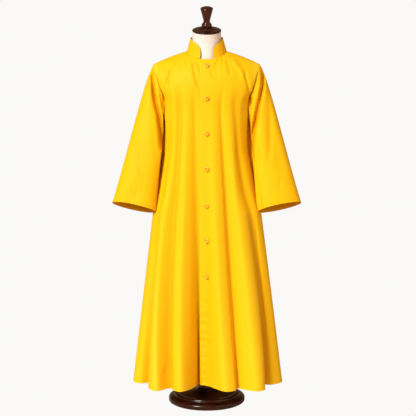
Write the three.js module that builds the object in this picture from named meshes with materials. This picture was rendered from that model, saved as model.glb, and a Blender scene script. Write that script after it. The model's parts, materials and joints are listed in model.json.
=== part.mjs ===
import * as THREE from "three";

// Choir cassock on a limbless dress form.
// Millimetres, +Z up. The front faces -Y and +X is the wearer's left. The floor is Z = 0.

// ---- Cloth ----
const WALL = 2; // thickness of the cloth
const SEAM_GAP = 0.3; // space left between pieces that are sewn or rest on each other
const LAP_GAP = 0.6; // space between the two fronts where one lies over the other

// ---- Heights and landmarks of the cassock (left side; the right side is its mirror image) ----
const HEM_Z = 97;
const HIP_Z = 711;
const CHEST_Z = 1211;
const SHOULDER_POINT = [216, 4, 1395]; // outer end of the shoulder seam
const UNDERARM_POINT = [168, 0, 1212]; // top of the side seam
const NECK_POINT = [80, -5, 1448]; // inner end of the shoulder seam
const SHOULDER_ARCH = 3.5; // rise of the shoulder seam above a straight line
const NECK_FRONT = [0, -75, 1416]; // neckline at the centre front
const NECK_BACK = [0, 62, 1462]; // neckline at the centre back
const NECK_FRONT_DIP = 1; // power by which the neckline falls from the neck point to the front
const NECK_BACK_LIFT = 2; // and rises to the back
const ARMHOLE_HALF_DEPTH = 60; // armhole, from its middle to the front or to the back
const ARMHOLE_CORNER = 130; // degrees from the shoulder down to the armhole's lower corner
const NECK_CORNER_AT = 40; // degrees from the front or the back of the chest line under the neck point
const NECK_CROWD = 1.37; // how far the chest lines crowd towards the centre at the neck
const CORNER_DRAW = 4; // powers by which the chest line draws out to the armhole's lower corner,
const CORNER_LIFT = 2; // lifts up to it
const CORNER_TURN = 3; // and turns up into the armhole
const FIT_RISE = 170; // height below the chest over which the skirt takes up the armhole's shape

// How the cloth leaves the neckline, at its centre and beside the neck, and how it leaves the chest.
const FRONT_REACH = { centre: 38, side: 103, sideOut: 26, centreDrop: 44, sideDrop: 36 };
const BACK_REACH = { centre: 38, side: 93, sideOut: 30, centreDrop: 24, sideDrop: 14 };
const CHEST_RISE = { out: 5, up: 82 };

// ---- Sleeves ----
const CUFF_OUTER = [384, -40, 837];
const CUFF_INNER = [206, -60, 802];
const CUFF_HALF_DEPTH = 50;
const CUFF_FRONT_RISE = 19; // how much higher the front of the cuff hangs than its middle
const SLEEVE_CAP = [40, -4, -72]; // how the sleeve's outside leaves the shoulder
const SLEEVE_FALL = [-58, 6, 180]; // how it arrives at the cuff, back up from it
const SLEEVE_CLEAR = 3; // space between a hanging sleeve and the skirt
const CLEAR_FROM = 0.08; // share of the sleeve's length over which that space opens
const SLEEVE_STEPS = [0, 0.035, 0.09, 0.17, 0.27, 0.39, 0.52, 0.66, 0.82, 1];

// ---- Collar ----
const COLLAR_HEIGHT = 54;
const COLLAR_SEAT = 0.45; // space between the collar's foot and the neckline
const COLLAR_END_X = 27; // each front end from the centre
const COLLAR_END_ROUND = 31; // radius of the rounded upper front corners
const COLLAR_TOP_HALF_WIDTH = 64.5;
const COLLAR_TOP_MIDDLE_Y = -14;
const COLLAR_TOP_FRONT = 60;
const COLLAR_TOP_BACK = 58;
const COLLAR_COLUMNS = 36;
const COLLAR_ROWS = 4;
const COLLAR_CROWD = 1.25; // power by which its columns crowd towards the front ends

// ---- Buttons ----
const BUTTON_HEIGHTS = [1390, 1262, 1123, 982, 837, 696, 552];
const BUTTON_X = 1;
const BUTTON_SEGMENTS = 14;
const BUTTON_REACH = 9; // how far from its middle a button takes its slope from the cloth
const BUTTON_FORWARD = 0.3; // how much more than the cloth it faces forwards
const BUTTON_PROFILE = [
  { r: 8.6, h: 0 },
  { r: 11.3, h: 2 },
  { r: 11.3, h: 4.6 },
  { r: 10, h: 6.2 },
  { r: 8.3, h: 6 },
  { r: 6.8, h: 4.4 },
  { r: 3, h: 4.2 },
  { r: 1.6, h: 5.2 },
];

// Plain girth by height: half-width, depth to the front and to the back, and squareness of the outline.
const GIRTH = [
  { z: HEM_Z, halfWidth: 288, front: 195, back: 188, square: 3 },
  { z: HIP_Z, halfWidth: 222, front: 153, back: 146, square: 2.6 },
  { z: CHEST_Z, halfWidth: 168, front: 118, back: 108, square: 2.3 },
];

// Fold lines once round the cloth: where each line lies, in degrees from the front, and how far it
// stands out from the plain girth, at the chest, the hip and the hem.
const FOLD_LINES = [
  { line: "right_seam", chestAt: -90, chest: 0, hipAt: -90, hip: 3, hemAt: -90, hem: 4 },
  { line: "right_side_ridge", chestAt: -83, chest: 0, hipAt: -82.5, hip: 9, hemAt: -78.5, hem: 18 },
  { line: "right_corner", chestAt: -75.4, chest: 0, hipAt: -74, hip: 5, hemAt: -71, hem: -4 },
  { line: "right_crease", chestAt: -67, chest: 0, hipAt: -67.5, hip: -5, hemAt: -69.8, hem: -45 },
  { line: "right_fold_flank", chestAt: -60, chest: 1, hipAt: -61.5, hip: 9, hemAt: -56, hem: 8 },
  { line: "right_fold_ridge", chestAt: -53, chest: 2, hipAt: -56, hip: 11, hemAt: -44.5, hem: 37 },
  { line: "trough_a", chestAt: -47, chest: -5, hipAt: -49, hip: -15, hemAt: -41.6, hem: -22 },
  { line: "middle_fold_flank", chestAt: -40, chest: 0, hipAt: -40, hip: 6, hemAt: -33, hem: 10 },
  { line: "middle_fold_ridge", chestAt: -34, chest: 2, hipAt: -32, hip: 14, hemAt: -25.8, hem: 23 },
  { line: "middle_fold_slope", chestAt: -29, chest: -1, hipAt: -25, hip: -4, hemAt: -20.5, hem: -17 },
  { line: "trough_b", chestAt: -24, chest: -7, hipAt: -17.5, hip: -28, hemAt: -17, hem: -76 },
  { line: "front_edge", chestAt: -13.5, chest: 0, hipAt: -12.3, hip: -22, hemAt: -13.3, hem: -80 },
  { line: "button_line", chestAt: 0, chest: 1, hipAt: 0.6, hip: -12, hemAt: 2.2, hem: -63 },
  { line: "front_rise", chestAt: 8, chest: 2, hipAt: 8, hip: 3, hemAt: 12.3, hem: -22 },
  { line: "front_fold_ridge", chestAt: 14, chest: 2, hipAt: 14, hip: 11, hemAt: 19.8, hem: 19 },
  { line: "front_fold_flank", chestAt: 18, chest: -1, hipAt: 21, hip: 0, hemAt: 27.4, hem: 6 },
  { line: "trough_c", chestAt: 22, chest: -6, hipAt: 30, hip: -20, hemAt: 33.6, hem: -26 },
  { line: "left_fold_slope", chestAt: 27, chest: 0, hipAt: 35, hip: -4, hemAt: 37.4, hem: 14 },
  { line: "left_fold_ridge", chestAt: 33, chest: 2, hipAt: 41, hip: 13, hemAt: 42.4, hem: 42 },
  { line: "left_fold_flank", chestAt: 40, chest: 2, hipAt: 54, hip: 7, hemAt: 51.7, hem: 31 },
  { line: "trough_d", chestAt: 49, chest: -5, hipAt: 65, hip: -9, hemAt: 64, hem: -31 },
  { line: "left_side_slope", chestAt: 60, chest: 1, hipAt: 70, hip: 4, hemAt: 66.8, hem: -3 },
  { line: "left_corner", chestAt: 75.4, chest: 0, hipAt: 77, hip: 13, hemAt: 75, hem: 23 },
  { line: "left_side_ridge", chestAt: 83, chest: 0, hipAt: 83.5, hip: 12, hemAt: 81, hem: 25 },
  { line: "left_seam", chestAt: 90, chest: 0, hipAt: 90, hip: 3, hemAt: 90, hem: 6 },
  { line: "back_left_side_ridge", chestAt: 97, chest: 0, hipAt: 98, hip: 6, hemAt: 99, hem: 12 },
  { line: "back_left_corner", chestAt: 104.6, chest: 0, hipAt: 106, hip: -4, hemAt: 108, hem: -14 },
  { line: "back_left_ridge", chestAt: 115, chest: 2, hipAt: 117, hip: 9, hemAt: 119, hem: 27 },
  { line: "back_left_trough", chestAt: 126, chest: -2, hipAt: 129, hip: -11, hemAt: 131, hem: -27 },
  { line: "back_left_blade", chestAt: 140, chest: 2, hipAt: 141, hip: 9, hemAt: 142, hem: 26 },
  { line: "back_centre_left", chestAt: 153, chest: -2, hipAt: 154, hip: -12, hemAt: 155, hem: -34 },
  { line: "back_left_pleat", chestAt: 166, chest: 2, hipAt: 167, hip: 9, hemAt: 168, hem: 20 },
  { line: "back_centre", chestAt: 180, chest: 0, hipAt: 180, hip: -8, hemAt: 180, hem: -26 },
  { line: "back_right_pleat", chestAt: 194, chest: 2, hipAt: 192, hip: 10, hemAt: 191, hem: 24 },
  { line: "back_centre_right", chestAt: 207, chest: -2, hipAt: 205, hip: -10, hemAt: 203, hem: -30 },
  { line: "back_right_blade", chestAt: 220, chest: 2, hipAt: 218, hip: 10, hemAt: 216, hem: 28 },
  { line: "back_right_trough", chestAt: 234, chest: -2, hipAt: 231, hip: -10, hemAt: 229, hem: -25 },
  { line: "back_right_ridge", chestAt: 245, chest: 2, hipAt: 243, hip: 8, hemAt: 241, hem: 24 },
  { line: "back_right_corner", chestAt: 255.4, chest: 0, hipAt: 254, hip: -4, hemAt: 252, hem: -16 },
  { line: "back_right_side_ridge", chestAt: 263, chest: 0, hipAt: 262, hip: 6, hemAt: 261, hem: 12 },
];

// Soft troughs of each sleeve: where they start and end, round the arm in degrees from the shoulder
// over the front, and along the sleeve as a share of its length.
const SLEEVE_FOLDS = [
  { side: -1, fromAt: 60, toAt: 118, from: 0.02, to: 0.62, depth: 7, spread: 17 },
  { side: -1, fromAt: 104, toAt: 78, from: 0.72, to: 1, depth: 5, spread: 20 },
  { side: 1, fromAt: 92, toAt: 132, from: 0.02, to: 0.7, depth: 7, spread: 17 },
  { side: 1, fromAt: 66, toAt: 60, from: 0.15, to: 0.85, depth: 4, spread: 18 },
  { side: -1, fromAt: 262, toAt: 234, from: 0.05, to: 0.8, depth: 6, spread: 20 },
  { side: 1, fromAt: 256, toAt: 240, from: 0.05, to: 0.75, depth: 6, spread: 20 },
];
const SLEEVE_FOLD_EASE = 0.16; // share of the sleeve over which a trough starts and ends

// ---- Dress form ----
const FORM_SEGMENTS = 28;
const NECK_LEAN = 0.287; // slope of the neck's top, lower at the front
const NECK_TOP = { z: 1526.7, y: -20 };
// Sections of the padded body and neck; each lies on its middle line and leans forwards with the neck.
const FORM_SECTIONS = [
  { z: 700, halfWidth: 138, front: 88, back: 88, middleY: 0, lean: 0, round: 2 },
  { z: 716, halfWidth: 152, front: 99, back: 99, middleY: 0, lean: 0, round: 2 },
  { z: 790, halfWidth: 158, front: 102, back: 104, middleY: 0, lean: 0, round: 2 },
  { z: 880, halfWidth: 146, front: 94, back: 94, middleY: 0, lean: 0, round: 2 },
  { z: 980, halfWidth: 126, front: 84, back: 80, middleY: 0, lean: 0, round: 2 },
  { z: 1080, halfWidth: 136, front: 91, back: 84, middleY: 0, lean: 0, round: 2 },
  { z: 1180, halfWidth: 149, front: 99, back: 92, middleY: 0, lean: 0, round: 2 },
  { z: 1270, halfWidth: 160, front: 98, back: 94, middleY: 0, lean: 0, round: 2 },
  { z: 1330, halfWidth: 178, front: 86, back: 88, middleY: 0, lean: 0, round: 2 },
  { z: 1365, halfWidth: 196, front: 66, back: 70, middleY: 1, lean: 0, round: 1.8 },
  { z: 1382, halfWidth: 201, front: 54, back: 56, middleY: 2, lean: 0, round: 1.6 },
];
const FORM_TIP = { x: 196, front: 44, back: 46, round: 1.5 }; // outer end of the form's straight shoulder
const FORM_NECK_FOOT = { x: 89, front: 55, back: 50, round: 1 };
const FORM_SHOULDER_STEPS = 4;
const FORM_REST_GAP = 0.5; // space between the form's shoulder line and the cloth that rests on it
const NECK_SECTIONS = [
  { z: 1448, halfWidth: 67, front: 54, back: 48, middleY: -6, lean: 0.03, round: 1.6 },
  { z: 1459, halfWidth: 64, front: 53, back: 49, middleY: -8, lean: 0.08, round: 2 },
  { z: 1480, halfWidth: 59.5, front: 51, back: 50, middleY: -12, lean: 0.17, round: 2 },
  { z: 1505, halfWidth: 58, front: 53, back: 53, middleY: -17, lean: 0.25, round: 2 },
];

// ---- Turned wood ----
const WOOD_SEGMENTS = 40;
const SMALL_WOOD_SEGMENTS = 20;
const POST_RADIUS = 16;
const HUB_TOP = 80;
const NECK_TOP_RADIUS = 57.8;
const CAP_HEIGHT = 13;
const BASE_PROFILE = [
  { r: 156.5, h: 0 },
  { r: 158.5, h: 2.5 },
  { r: 158.5, h: 19 },
  { r: 155.5, h: 22.5 },
  { r: 140, h: 33 },
  { r: 133, h: 36 },
  { r: 131, h: 40 },
  { r: 126, h: 41.5 },
  { r: 60, h: 43.5 },
  { r: 38, h: 46 },
  { r: 34, h: 52 },
  { r: 33, h: HUB_TOP - 4 },
  { r: 29, h: HUB_TOP },
];
const CAP_PROFILE = [
  { r: 57, h: 0 },
  { r: 58.4, h: 1.2 },
  { r: 58.4, h: 3.6 },
  { r: 55, h: 6 },
  { r: 38, h: 9.2 },
  { r: 24, h: CAP_HEIGHT },
];
const FINIAL_PROFILE = [
  { r: 18, h: 0 },
  { r: 20.5, h: 6 },
  { r: 20.5, h: 12 },
  { r: 15, h: 21 },
  { r: 12.8, h: 27 },
  { r: 14, h: 34 },
  { r: 24.8, h: 75 },
  { r: 25.4, h: 78 },
  { r: 22.5, h: 82 },
  { r: 13, h: 85.5 },
];

const SKIRT_ROWS = [HEM_Z, 165, 245, 340, 445, 560, 680, 800, 920, 1030, 1125, CHEST_Z];
const YOKE_STEPS = 6;
const FRONT_COLUMNS = 2; // columns from one fold line to the next
const BACK_COLUMNS = 3;

// ---- Small helpers ----
const radians = (degrees) => (degrees * Math.PI) / 180;
const lerp = (a, b, t) => a + (b - a) * t;
const clamp01 = (t) => Math.min(1, Math.max(0, t));
const ease = (t) => clamp01(t) ** 2 * (3 - 2 * clamp01(t));
const add = (p, q, k = 1) => p.map((v, i) => v + q[i] * k);
const sub = (p, q) => add(p, q, -1);
const mix = (p, q, t) => p.map((v, i) => lerp(v, q[i], t));
const dot = (p, q) => p[0] * q[0] + p[1] * q[1] + p[2] * q[2];
const length = (p) => Math.sqrt(dot(p, p));
const unit = (p) => p.map((v) => v / length(p));
const cross = (p, q) => [
  p[1] * q[2] - p[2] * q[1],
  p[2] * q[0] - p[0] * q[2],
  p[0] * q[1] - p[1] * q[0],
];
const polar = (at, r, z) => [r * Math.sin(radians(at)), -r * Math.cos(radians(at)), z];
const last = (list) => list[list.length - 1];
const mirrored = (p, side) => [p[0] * side, p[1], p[2]];
const towards = (p, q, distance) => add(p, unit(sub(q, p)), distance);

// Value of a table's column at height z, between its rows.
function between(rows, z, column) {
  let i = 1;
  while (i < rows.length - 1 && z > rows[i].z) i += 1;
  const t = (z - rows[i - 1].z) / (rows[i].z - rows[i - 1].z);
  return lerp(rows[i - 1][column], rows[i][column], t);
}

// Curve through three heights: hem, hip and chest.
function throughThree(z, hem, hip, chest) {
  const atHem = ((z - HIP_Z) * (z - CHEST_Z)) / ((HEM_Z - HIP_Z) * (HEM_Z - CHEST_Z));
  const atHip = ((z - HEM_Z) * (z - CHEST_Z)) / ((HIP_Z - HEM_Z) * (HIP_Z - CHEST_Z));
  const atChest = ((z - HEM_Z) * (z - HIP_Z)) / ((CHEST_Z - HEM_Z) * (CHEST_Z - HIP_Z));
  return hem * atHem + hip * atHip + chest * atChest;
}

// Point at share t between b and c on a smooth curve through a, b, c, d.
function smooth(a, b, c, d, t) {
  const knots = [0];
  for (const [p, q] of [[a, b], [b, c], [c, d]]) knots.push(last(knots) + Math.sqrt(length(sub(q, p))));
  const at = lerp(knots[1], knots[2], t);
  const blend = (p, q, from, to) => mix(p, q, (at - knots[from]) / (knots[to] - knots[from]));
  const [ab, bc, cd] = [blend(a, b, 0, 1), blend(b, c, 1, 2), blend(c, d, 2, 3)];
  return blend(blend(ab, bc, 0, 2), blend(bc, cd, 1, 3), 1, 2);
}

function bezier(p, t) {
  const lower = mix(mix(p[0], p[1], t), mix(p[1], p[2], t), t);
  const upper = mix(mix(p[1], p[2], t), mix(p[2], p[3], t), t);
  return mix(lower, upper, t);
}

// ---- Girth and armhole ----
function plainRadius(at, z) {
  const halfWidth = between(GIRTH, z, "halfWidth");
  const depth = between(GIRTH, z, Math.cos(radians(at)) > 0 ? "front" : "back");
  const square = between(GIRTH, z, "square");
  const across = Math.abs(Math.sin(radians(at)) / halfWidth) ** square;
  const along = Math.abs(Math.cos(radians(at)) / depth) ** square;
  return (across + along) ** (-1 / square);
}

const armholeMiddle = mix(SHOULDER_POINT, UNDERARM_POINT, 0.5);
const armholeHalf = sub(SHOULDER_POINT, armholeMiddle);
const armholeOut = unit(cross(armholeHalf, [0, -1, 0]));

// Point of the left armhole; at is 0 at the shoulder, 180 at the underarm and fore is 1 for the front.
function armholePoint(at, fore) {
  const alongY = [0, -fore * ARMHOLE_HALF_DEPTH * Math.sin(radians(at)), 0];
  return add(add(armholeMiddle, armholeHalf, Math.cos(radians(at))), alongY);
}

// How a line at the given chest angle stands to the left or right side and to the front or back.
function standing(at) {
  const turn = ((at + 540) % 360) - 180;
  const fore = Math.abs(turn) < 90 ? 1 : -1;
  const off = fore > 0 ? Math.abs(turn) : 180 - Math.abs(turn);
  return { side: turn < 0 ? -1 : 1, fore, off };
}

const cornerOff = (fore) => {
  const corner = armholePoint(ARMHOLE_CORNER, fore);
  return (Math.atan2(corner[0], Math.abs(corner[1])) * 180) / Math.PI;
};
const CORNER_OFF = cornerOff(1);
const CORNER_TOLERANCE = 0.6;

// Point of the chest line under the yoke, which meets both armholes at their lower corners.
function chestPoint(row) {
  const { side, fore, off } = standing(row.chestAt);
  if (off > CORNER_OFF - CORNER_TOLERANCE) {
    const share = clamp01((off - CORNER_OFF) / (90 - CORNER_OFF));
    return mirrored(armholePoint(lerp(ARMHOLE_CORNER, 180, share), fore), side);
  }
  const corner = armholePoint(ARMHOLE_CORNER, fore);
  const spread = Math.hypot(corner[0], corner[1]) / plainRadius(fore > 0 ? off : 180 - off, CHEST_Z);
  const near = off / CORNER_OFF;
  const r = plainRadius(row.chestAt, CHEST_Z) * lerp(1, spread, near ** CORNER_DRAW) + row.chest;
  return polar(row.chestAt, r, lerp(CHEST_Z, corner[2], near ** CORNER_LIFT));
}

// Point of a fold line on the skirt at height z.
function skirtPoint(row, z) {
  const at = throughThree(z, row.hemAt, row.hipAt, row.chestAt);
  const out = throughThree(z, row.hem, row.hip, row.chest);
  const plain = polar(at, plainRadius(at, z) + out, z);
  const chest = polar(row.chestAt, plainRadius(row.chestAt, CHEST_Z) + row.chest, CHEST_Z);
  const fit = sub(chestPoint(row), chest);
  return add(plain, fit, ease((z - CHEST_Z + FIT_RISE) / FIT_RISE));
}

// ---- Yoke: each line of the chest carries on up to the neckline or the shoulder seam ----
function neckline(turn, fore) {
  const centre = fore > 0 ? NECK_FRONT : NECK_BACK;
  const c = Math.cos(radians(turn));
  const z = lerp(NECK_POINT[2], centre[2], c ** (fore > 0 ? NECK_FRONT_DIP : NECK_BACK_LIFT));
  return [NECK_POINT[0] * Math.sin(radians(turn)), lerp(NECK_POINT[1], centre[1], c), z];
}

// Point of the left shoulder seam, 0 at the neck and 1 at the armhole.
function shoulderSeam(share) {
  return add(mix(NECK_POINT, SHOULDER_POINT, share), [0, 0, SHOULDER_ARCH * 4 * share * (1 - share)]);
}

// Upward normal of the shoulder seam, square to it.
function shoulderNormal(share) {
  const near = 0.01;
  const slope = sub(shoulderSeam(share + near), shoulderSeam(share - near));
  return unit([-slope[2], 0, slope[0]]);
}

// Share of the shoulder seam that a chest line reaches, by its angle from the front or the back.
const shoulderShare = (off) => clamp01((off - NECK_CORNER_AT) / (CORNER_OFF - NECK_CORNER_AT));

// Bezier curve of a chest line, whose outermost ones follow the armhole's ellipse.
function yokeCurve(row) {
  const { side, fore, off } = standing(row.chestAt);
  const chest = mirrored(chestPoint(row), side);
  const upright = [0, -fore * CHEST_RISE.out, CHEST_RISE.up];
  const armholeTurn = radians(ARMHOLE_CORNER);
  // Length of the handles with which a Bezier curve follows an arc of a unit circle.
  const handle = (4 / 3) * Math.tan(armholeTurn / 4);
  const round = [0, fore * ARMHOLE_HALF_DEPTH * Math.cos(armholeTurn) * handle, 0];
  const armholeUp = add(round, armholeHalf, handle * Math.sin(armholeTurn));
  const rise = mix(upright, armholeUp, clamp01(off / CORNER_OFF) ** CORNER_TURN);
  const turn = 90 * clamp01(off / NECK_CORNER_AT) ** NECK_CROWD;
  const along = shoulderShare(off);
  let top = neckline(turn, fore);
  const from = fore > 0 ? FRONT_REACH : BACK_REACH;
  const besideNeck = add(NECK_POINT, [0, -fore * from.side, -from.sideDrop]);
  const atCentre = add(fore > 0 ? NECK_FRONT : NECK_BACK, [0, -fore * from.centre, -from.centreDrop]);
  const c = Math.cos(radians(turn));
  const under = mix(besideNeck, atCentre, c * c);
  let fall = [lerp(top[0] + from.sideOut, top[0], c * c), under[1], under[2]];
  if (along > 0) {
    top = shoulderSeam(along);
    const besideSeam = [from.sideOut, -fore * from.side, -from.sideDrop];
    fall = add(top, mix(besideSeam, [0, -fore * ARMHOLE_HALF_DEPTH * handle, 0], along));
  }
  const curve = [chest, add(chest, rise), fall, top];
  return curve.map((p) => mirrored(p, side));
}

// ---- The grid of the whole body: rows from the hem up, columns once round ----
const lineCount = FOLD_LINES.length;
const chestRow = SKIRT_ROWS.length - 1;
const topRow = chestRow + YOKE_STEPS;
const lineAt = (i) => FOLD_LINES[(i + lineCount) % lineCount];

// Where each column lies: after a fold line, by a share of the way to the next one.
const columnPlaces = FOLD_LINES.flatMap((row, i) => {
  const steps = Math.cos(radians(row.chestAt)) > 0 ? FRONT_COLUMNS : BACK_COLUMNS;
  return Array.from({ length: steps }, (_, k) => ({ i, share: k / steps }));
});
const columnCount = columnPlaces.length;
const columnRows = columnPlaces.map(({ i, share }) => {
  const [row, next] = [lineAt(i), lineAt(i + 1)];
  const turnBack = next.chestAt < row.chestAt ? 360 : 0;
  return {
    chestAt: lerp(row.chestAt, next.chestAt + turnBack, share),
    chest: lerp(row.chest, next.chest, share),
  };
});

function ringOf(points) {
  const at = (k) => points[(k + lineCount) % lineCount];
  return columnPlaces.map(({ i, share }) =>
    share ? smooth(at(i - 1), at(i), at(i + 1), at(i + 2), share) : points[i],
  );
}

const isSideColumn = columnRows.map((row) => standing(row.chestAt).off > CORNER_OFF + CORNER_TOLERANCE);
const body = SKIRT_ROWS.map((z) => ringOf(FOLD_LINES.map((row) => skirtPoint(row, z))));
columnRows.forEach((row, c) => {
  if (standing(row.chestAt).off > CORNER_OFF - CORNER_TOLERANCE) body[chestRow][c] = chestPoint(row);
});
for (let step = 1; step <= YOKE_STEPS; step += 1) {
  const ring = columnRows.map((row, c) => {
    if (isSideColumn[c]) return body[chestRow][c];
    const curve = yokeCurve(row);
    const start = sub(body[chestRow][c], curve[0]);
    const t = step / YOKE_STEPS;
    return add(bezier(curve, t), start, (1 - t) ** 2);
  });
  body.push(ring);
}
const wrapColumn = (c) => (c + columnCount) % columnCount;
const hasBodyCell = (r, c) =>
  r < chestRow || (!isSideColumn[wrapColumn(c)] && !isSideColumn[wrapColumn(c + 1)]);
const columnOf = (name) =>
  columnPlaces.findIndex(({ i, share }) => FOLD_LINES[i].line === name && share === 0);

// Outward normal at a point of the body's grid, from the cells that touch it.
function bodyNormal(r, c) {
  let sum = [0, 0, 0];
  for (const dr of [-1, 0])
    for (const dc of [-1, 0]) {
      const row = r + dr;
      if (row < 0 || row >= topRow || !hasBodyCell(row, c + dc)) continue;
      const left = wrapColumn(c + dc);
      const right = wrapColumn(c + dc + 1);
      const diagonal = sub(body[row + 1][right], body[row][left]);
      sum = add(sum, cross(diagonal, sub(body[row + 1][left], body[row][right])));
    }
  return unit(sum);
}
const bodyNormals = body.map((ring, r) => ring.map((_, c) => bodyNormal(r, c)));

// Front and back share their shoulder seam, so they share its normals too.
columnRows.forEach((row, c) => {
  const { side, off } = standing(row.chestAt);
  if (off < NECK_CORNER_AT || isSideColumn[c]) return;
  bodyNormals[topRow][c] = mirrored(shoulderNormal(shoulderShare(off)), side);
});

// ---- Solids from grids ----
function pushQuad(faces, points, quad) {
  const [a, b, c, d] = quad;
  const split = length(sub(points[a], points[c])) <= length(sub(points[b], points[d]));
  if (split) faces.push(a, b, c, a, c, d);
  else faces.push(a, b, d, b, c, d);
}

function geometryOf(points, faces) {
  const geometry = new THREE.BufferGeometry();
  geometry.setAttribute("position", new THREE.Float32BufferAttribute(points.flat(), 3));
  geometry.setIndex(faces);
  geometry.computeVertexNormals();
  return geometry;
}

// Closed wall between an outer and an inner grid; cells that are missing leave openings with rims.
function wallGeometry(outer, inner, closed, hasCell = () => true) {
  const rows = outer.length;
  const columns = outer[0].length;
  const count = rows * columns;
  const points = [...outer.flat(), ...inner.flat()];
  const outerFaces = [];
  const spans = closed ? columns : columns - 1;
  const id = (r, c) => r * columns + (c % columns);
  const present = (r, c) => {
    if (r < 0 || r >= rows - 1) return false;
    if (!closed && (c < 0 || c >= spans)) return false;
    return hasCell(r, (c + columns) % columns);
  };
  const rims = [];
  for (let r = 0; r < rows - 1; r += 1)
    for (let c = 0; c < spans; c += 1) {
      if (!present(r, c)) continue;
      pushQuad(outerFaces, points, [id(r, c), id(r, c + 1), id(r + 1, c + 1), id(r + 1, c)]);
      const edges = [
        [present(r - 1, c), id(r, c), id(r, c + 1)],
        [present(r, c + 1), id(r, c + 1), id(r + 1, c + 1)],
        [present(r + 1, c), id(r + 1, c + 1), id(r + 1, c)],
        [present(r, c - 1), id(r + 1, c), id(r, c)],
      ];
      for (const [shared, a, b] of edges) if (!shared) rims.push([b, a, a + count, b + count]);
    }
  const faces = [...outerFaces];
  for (let i = 0; i < outerFaces.length; i += 3)
    faces.push(outerFaces[i] + count, outerFaces[i + 2] + count, outerFaces[i + 1] + count);
  for (const rim of rims) pushQuad(faces, points, rim);
  return compacted(points, faces);
}

// Drops the points that no face uses.
function compacted(points, faces) {
  const used = [...new Set(faces)];
  const place = new Map(used.map((v, i) => [v, i]));
  return geometryOf(
    used.map((v) => points[v]),
    faces.map((v) => place.get(v)),
  );
}

// Solid through rings from the bottom up, flat at both ends.
function ringSolid(rings) {
  const segments = rings[0].length;
  const middle = (ring) => ring.reduce((s, p) => add(s, p, 1 / segments), [0, 0, 0]);
  const points = [...rings.flat(), middle(rings[0]), middle(last(rings))];
  const bottom = points.length - 2;
  const top = points.length - 1;
  const faces = [];
  const id = (r, c) => r * segments + (c % segments);
  for (let c = 0; c < segments; c += 1) {
    for (let r = 0; r < rings.length - 1; r += 1)
      pushQuad(faces, points, [id(r, c), id(r, c + 1), id(r + 1, c + 1), id(r + 1, c)]);
    faces.push(bottom, id(0, c + 1), id(0, c));
    faces.push(top, id(rings.length - 1, c), id(rings.length - 1, c + 1));
  }
  return geometryOf(points, faces);
}

// Turned solid on the Z axis from a profile of radii and heights.
function turned(profile, segments) {
  const rings = profile.map(({ r, h }) =>
    Array.from({ length: segments }, (_, i) => polar((360 * i) / segments, r, h)),
  );
  return ringSolid(rings);
}

// ---- Panels of the body ----
// Inset of a seam edge, on the outer and the inner grid alike.
function insetEdge(grid, r, c, fromR, fromC) {
  grid[r][c] = towards(grid[r][c], grid[fromR][fromC], SEAM_GAP / 2);
}

function bodyPanel(columns, sink) {
  const pick = (r, c, depth) => add(body[r][wrapColumn(c)], bodyNormals[r][wrapColumn(c)], -depth);
  const outer = body.map((_, r) => columns.map((c) => pick(r, c, sink(c))));
  const inner = body.map((_, r) => columns.map((c) => pick(r, c, sink(c) + WALL)));
  const hasCell = (r, i) => hasBodyCell(r, columns[i]);
  const end = columns.length - 1;
  for (const grid of [outer, inner]) {
    for (let r = 0; r <= topRow; r += 1) {
      if (hasCell(Math.min(r, chestRow - 1), 0)) insetEdge(grid, r, 0, r, 1);
      insetEdge(grid, r, end, r, end - 1);
    }
    columns.forEach((c, i) => insetEdge(grid, topRow, i, topRow - 1, i));
  }
  return wallGeometry(outer, inner, false, hasCell);
}

const span = (from, to) => Array.from({ length: to - from + 1 }, (_, i) => from + i);
const frontEdge = columnOf("front_edge");
const lapStart = columnOf("trough_b");
const lapEnd = columnOf("front_rise");
const leftSeam = columnOf("left_seam");
const lapSink = (c) => (WALL + LAP_GAP) * clamp01((c - lapStart) / (frontEdge - lapStart));

// ---- Sleeves ----
// Radius of the skirt's solid at a height and an angle, or 0 where there is no skirt.
function skirtRadius(at, z) {
  const ring = [];
  for (let c = 0; c <= columnCount; c += 1) {
    const column = body.slice(0, chestRow + 1).map((points) => points[wrapColumn(c)]);
    let r = 1;
    while (r < chestRow && z > column[r][2]) r += 1;
    const t = (z - column[r - 1][2]) / (column[r][2] - column[r - 1][2]);
    if (t > 1) ring.push(null);
    else ring.push(mix(column[r - 1], column[r], t));
  }
  const way = polar(at, 1, 0);
  for (let c = 0; c < columnCount; c += 1) {
    const [p, q] = [ring[c], ring[c + 1]];
    if (!p || !q) continue;
    const before = way[0] * p[1] - way[1] * p[0];
    const after = way[0] * q[1] - way[1] * q[0];
    if (before > 0 || after <= 0 || way[0] * p[0] + way[1] * p[1] < 0) continue;
    const hit = mix(p, q, before / (before - after));
    return Math.hypot(hit[0], hit[1]);
  }
  return 0;
}

// Line along the outside of the left sleeve, from the shoulder point to the cuff.
function sleeveOuter(t) {
  const cap = add(SHOULDER_POINT, SLEEVE_CAP);
  return bezier([SHOULDER_POINT, cap, add(CUFF_OUTER, SLEEVE_FALL), CUFF_OUTER], t);
}

function sleevePoint(at, t) {
  const outer = sleeveOuter(t);
  const inner = mix(UNDERARM_POINT, CUFF_INNER, t);
  const middle = mix(outer, inner, 0.5);
  const depth = lerp(ARMHOLE_HALF_DEPTH, CUFF_HALF_DEPTH, t);
  const fore = [0, -depth, CUFF_FRONT_RISE * t * t];
  return add(add(middle, sub(outer, middle), Math.cos(radians(at))), fore, Math.sin(radians(at)));
}

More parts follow.
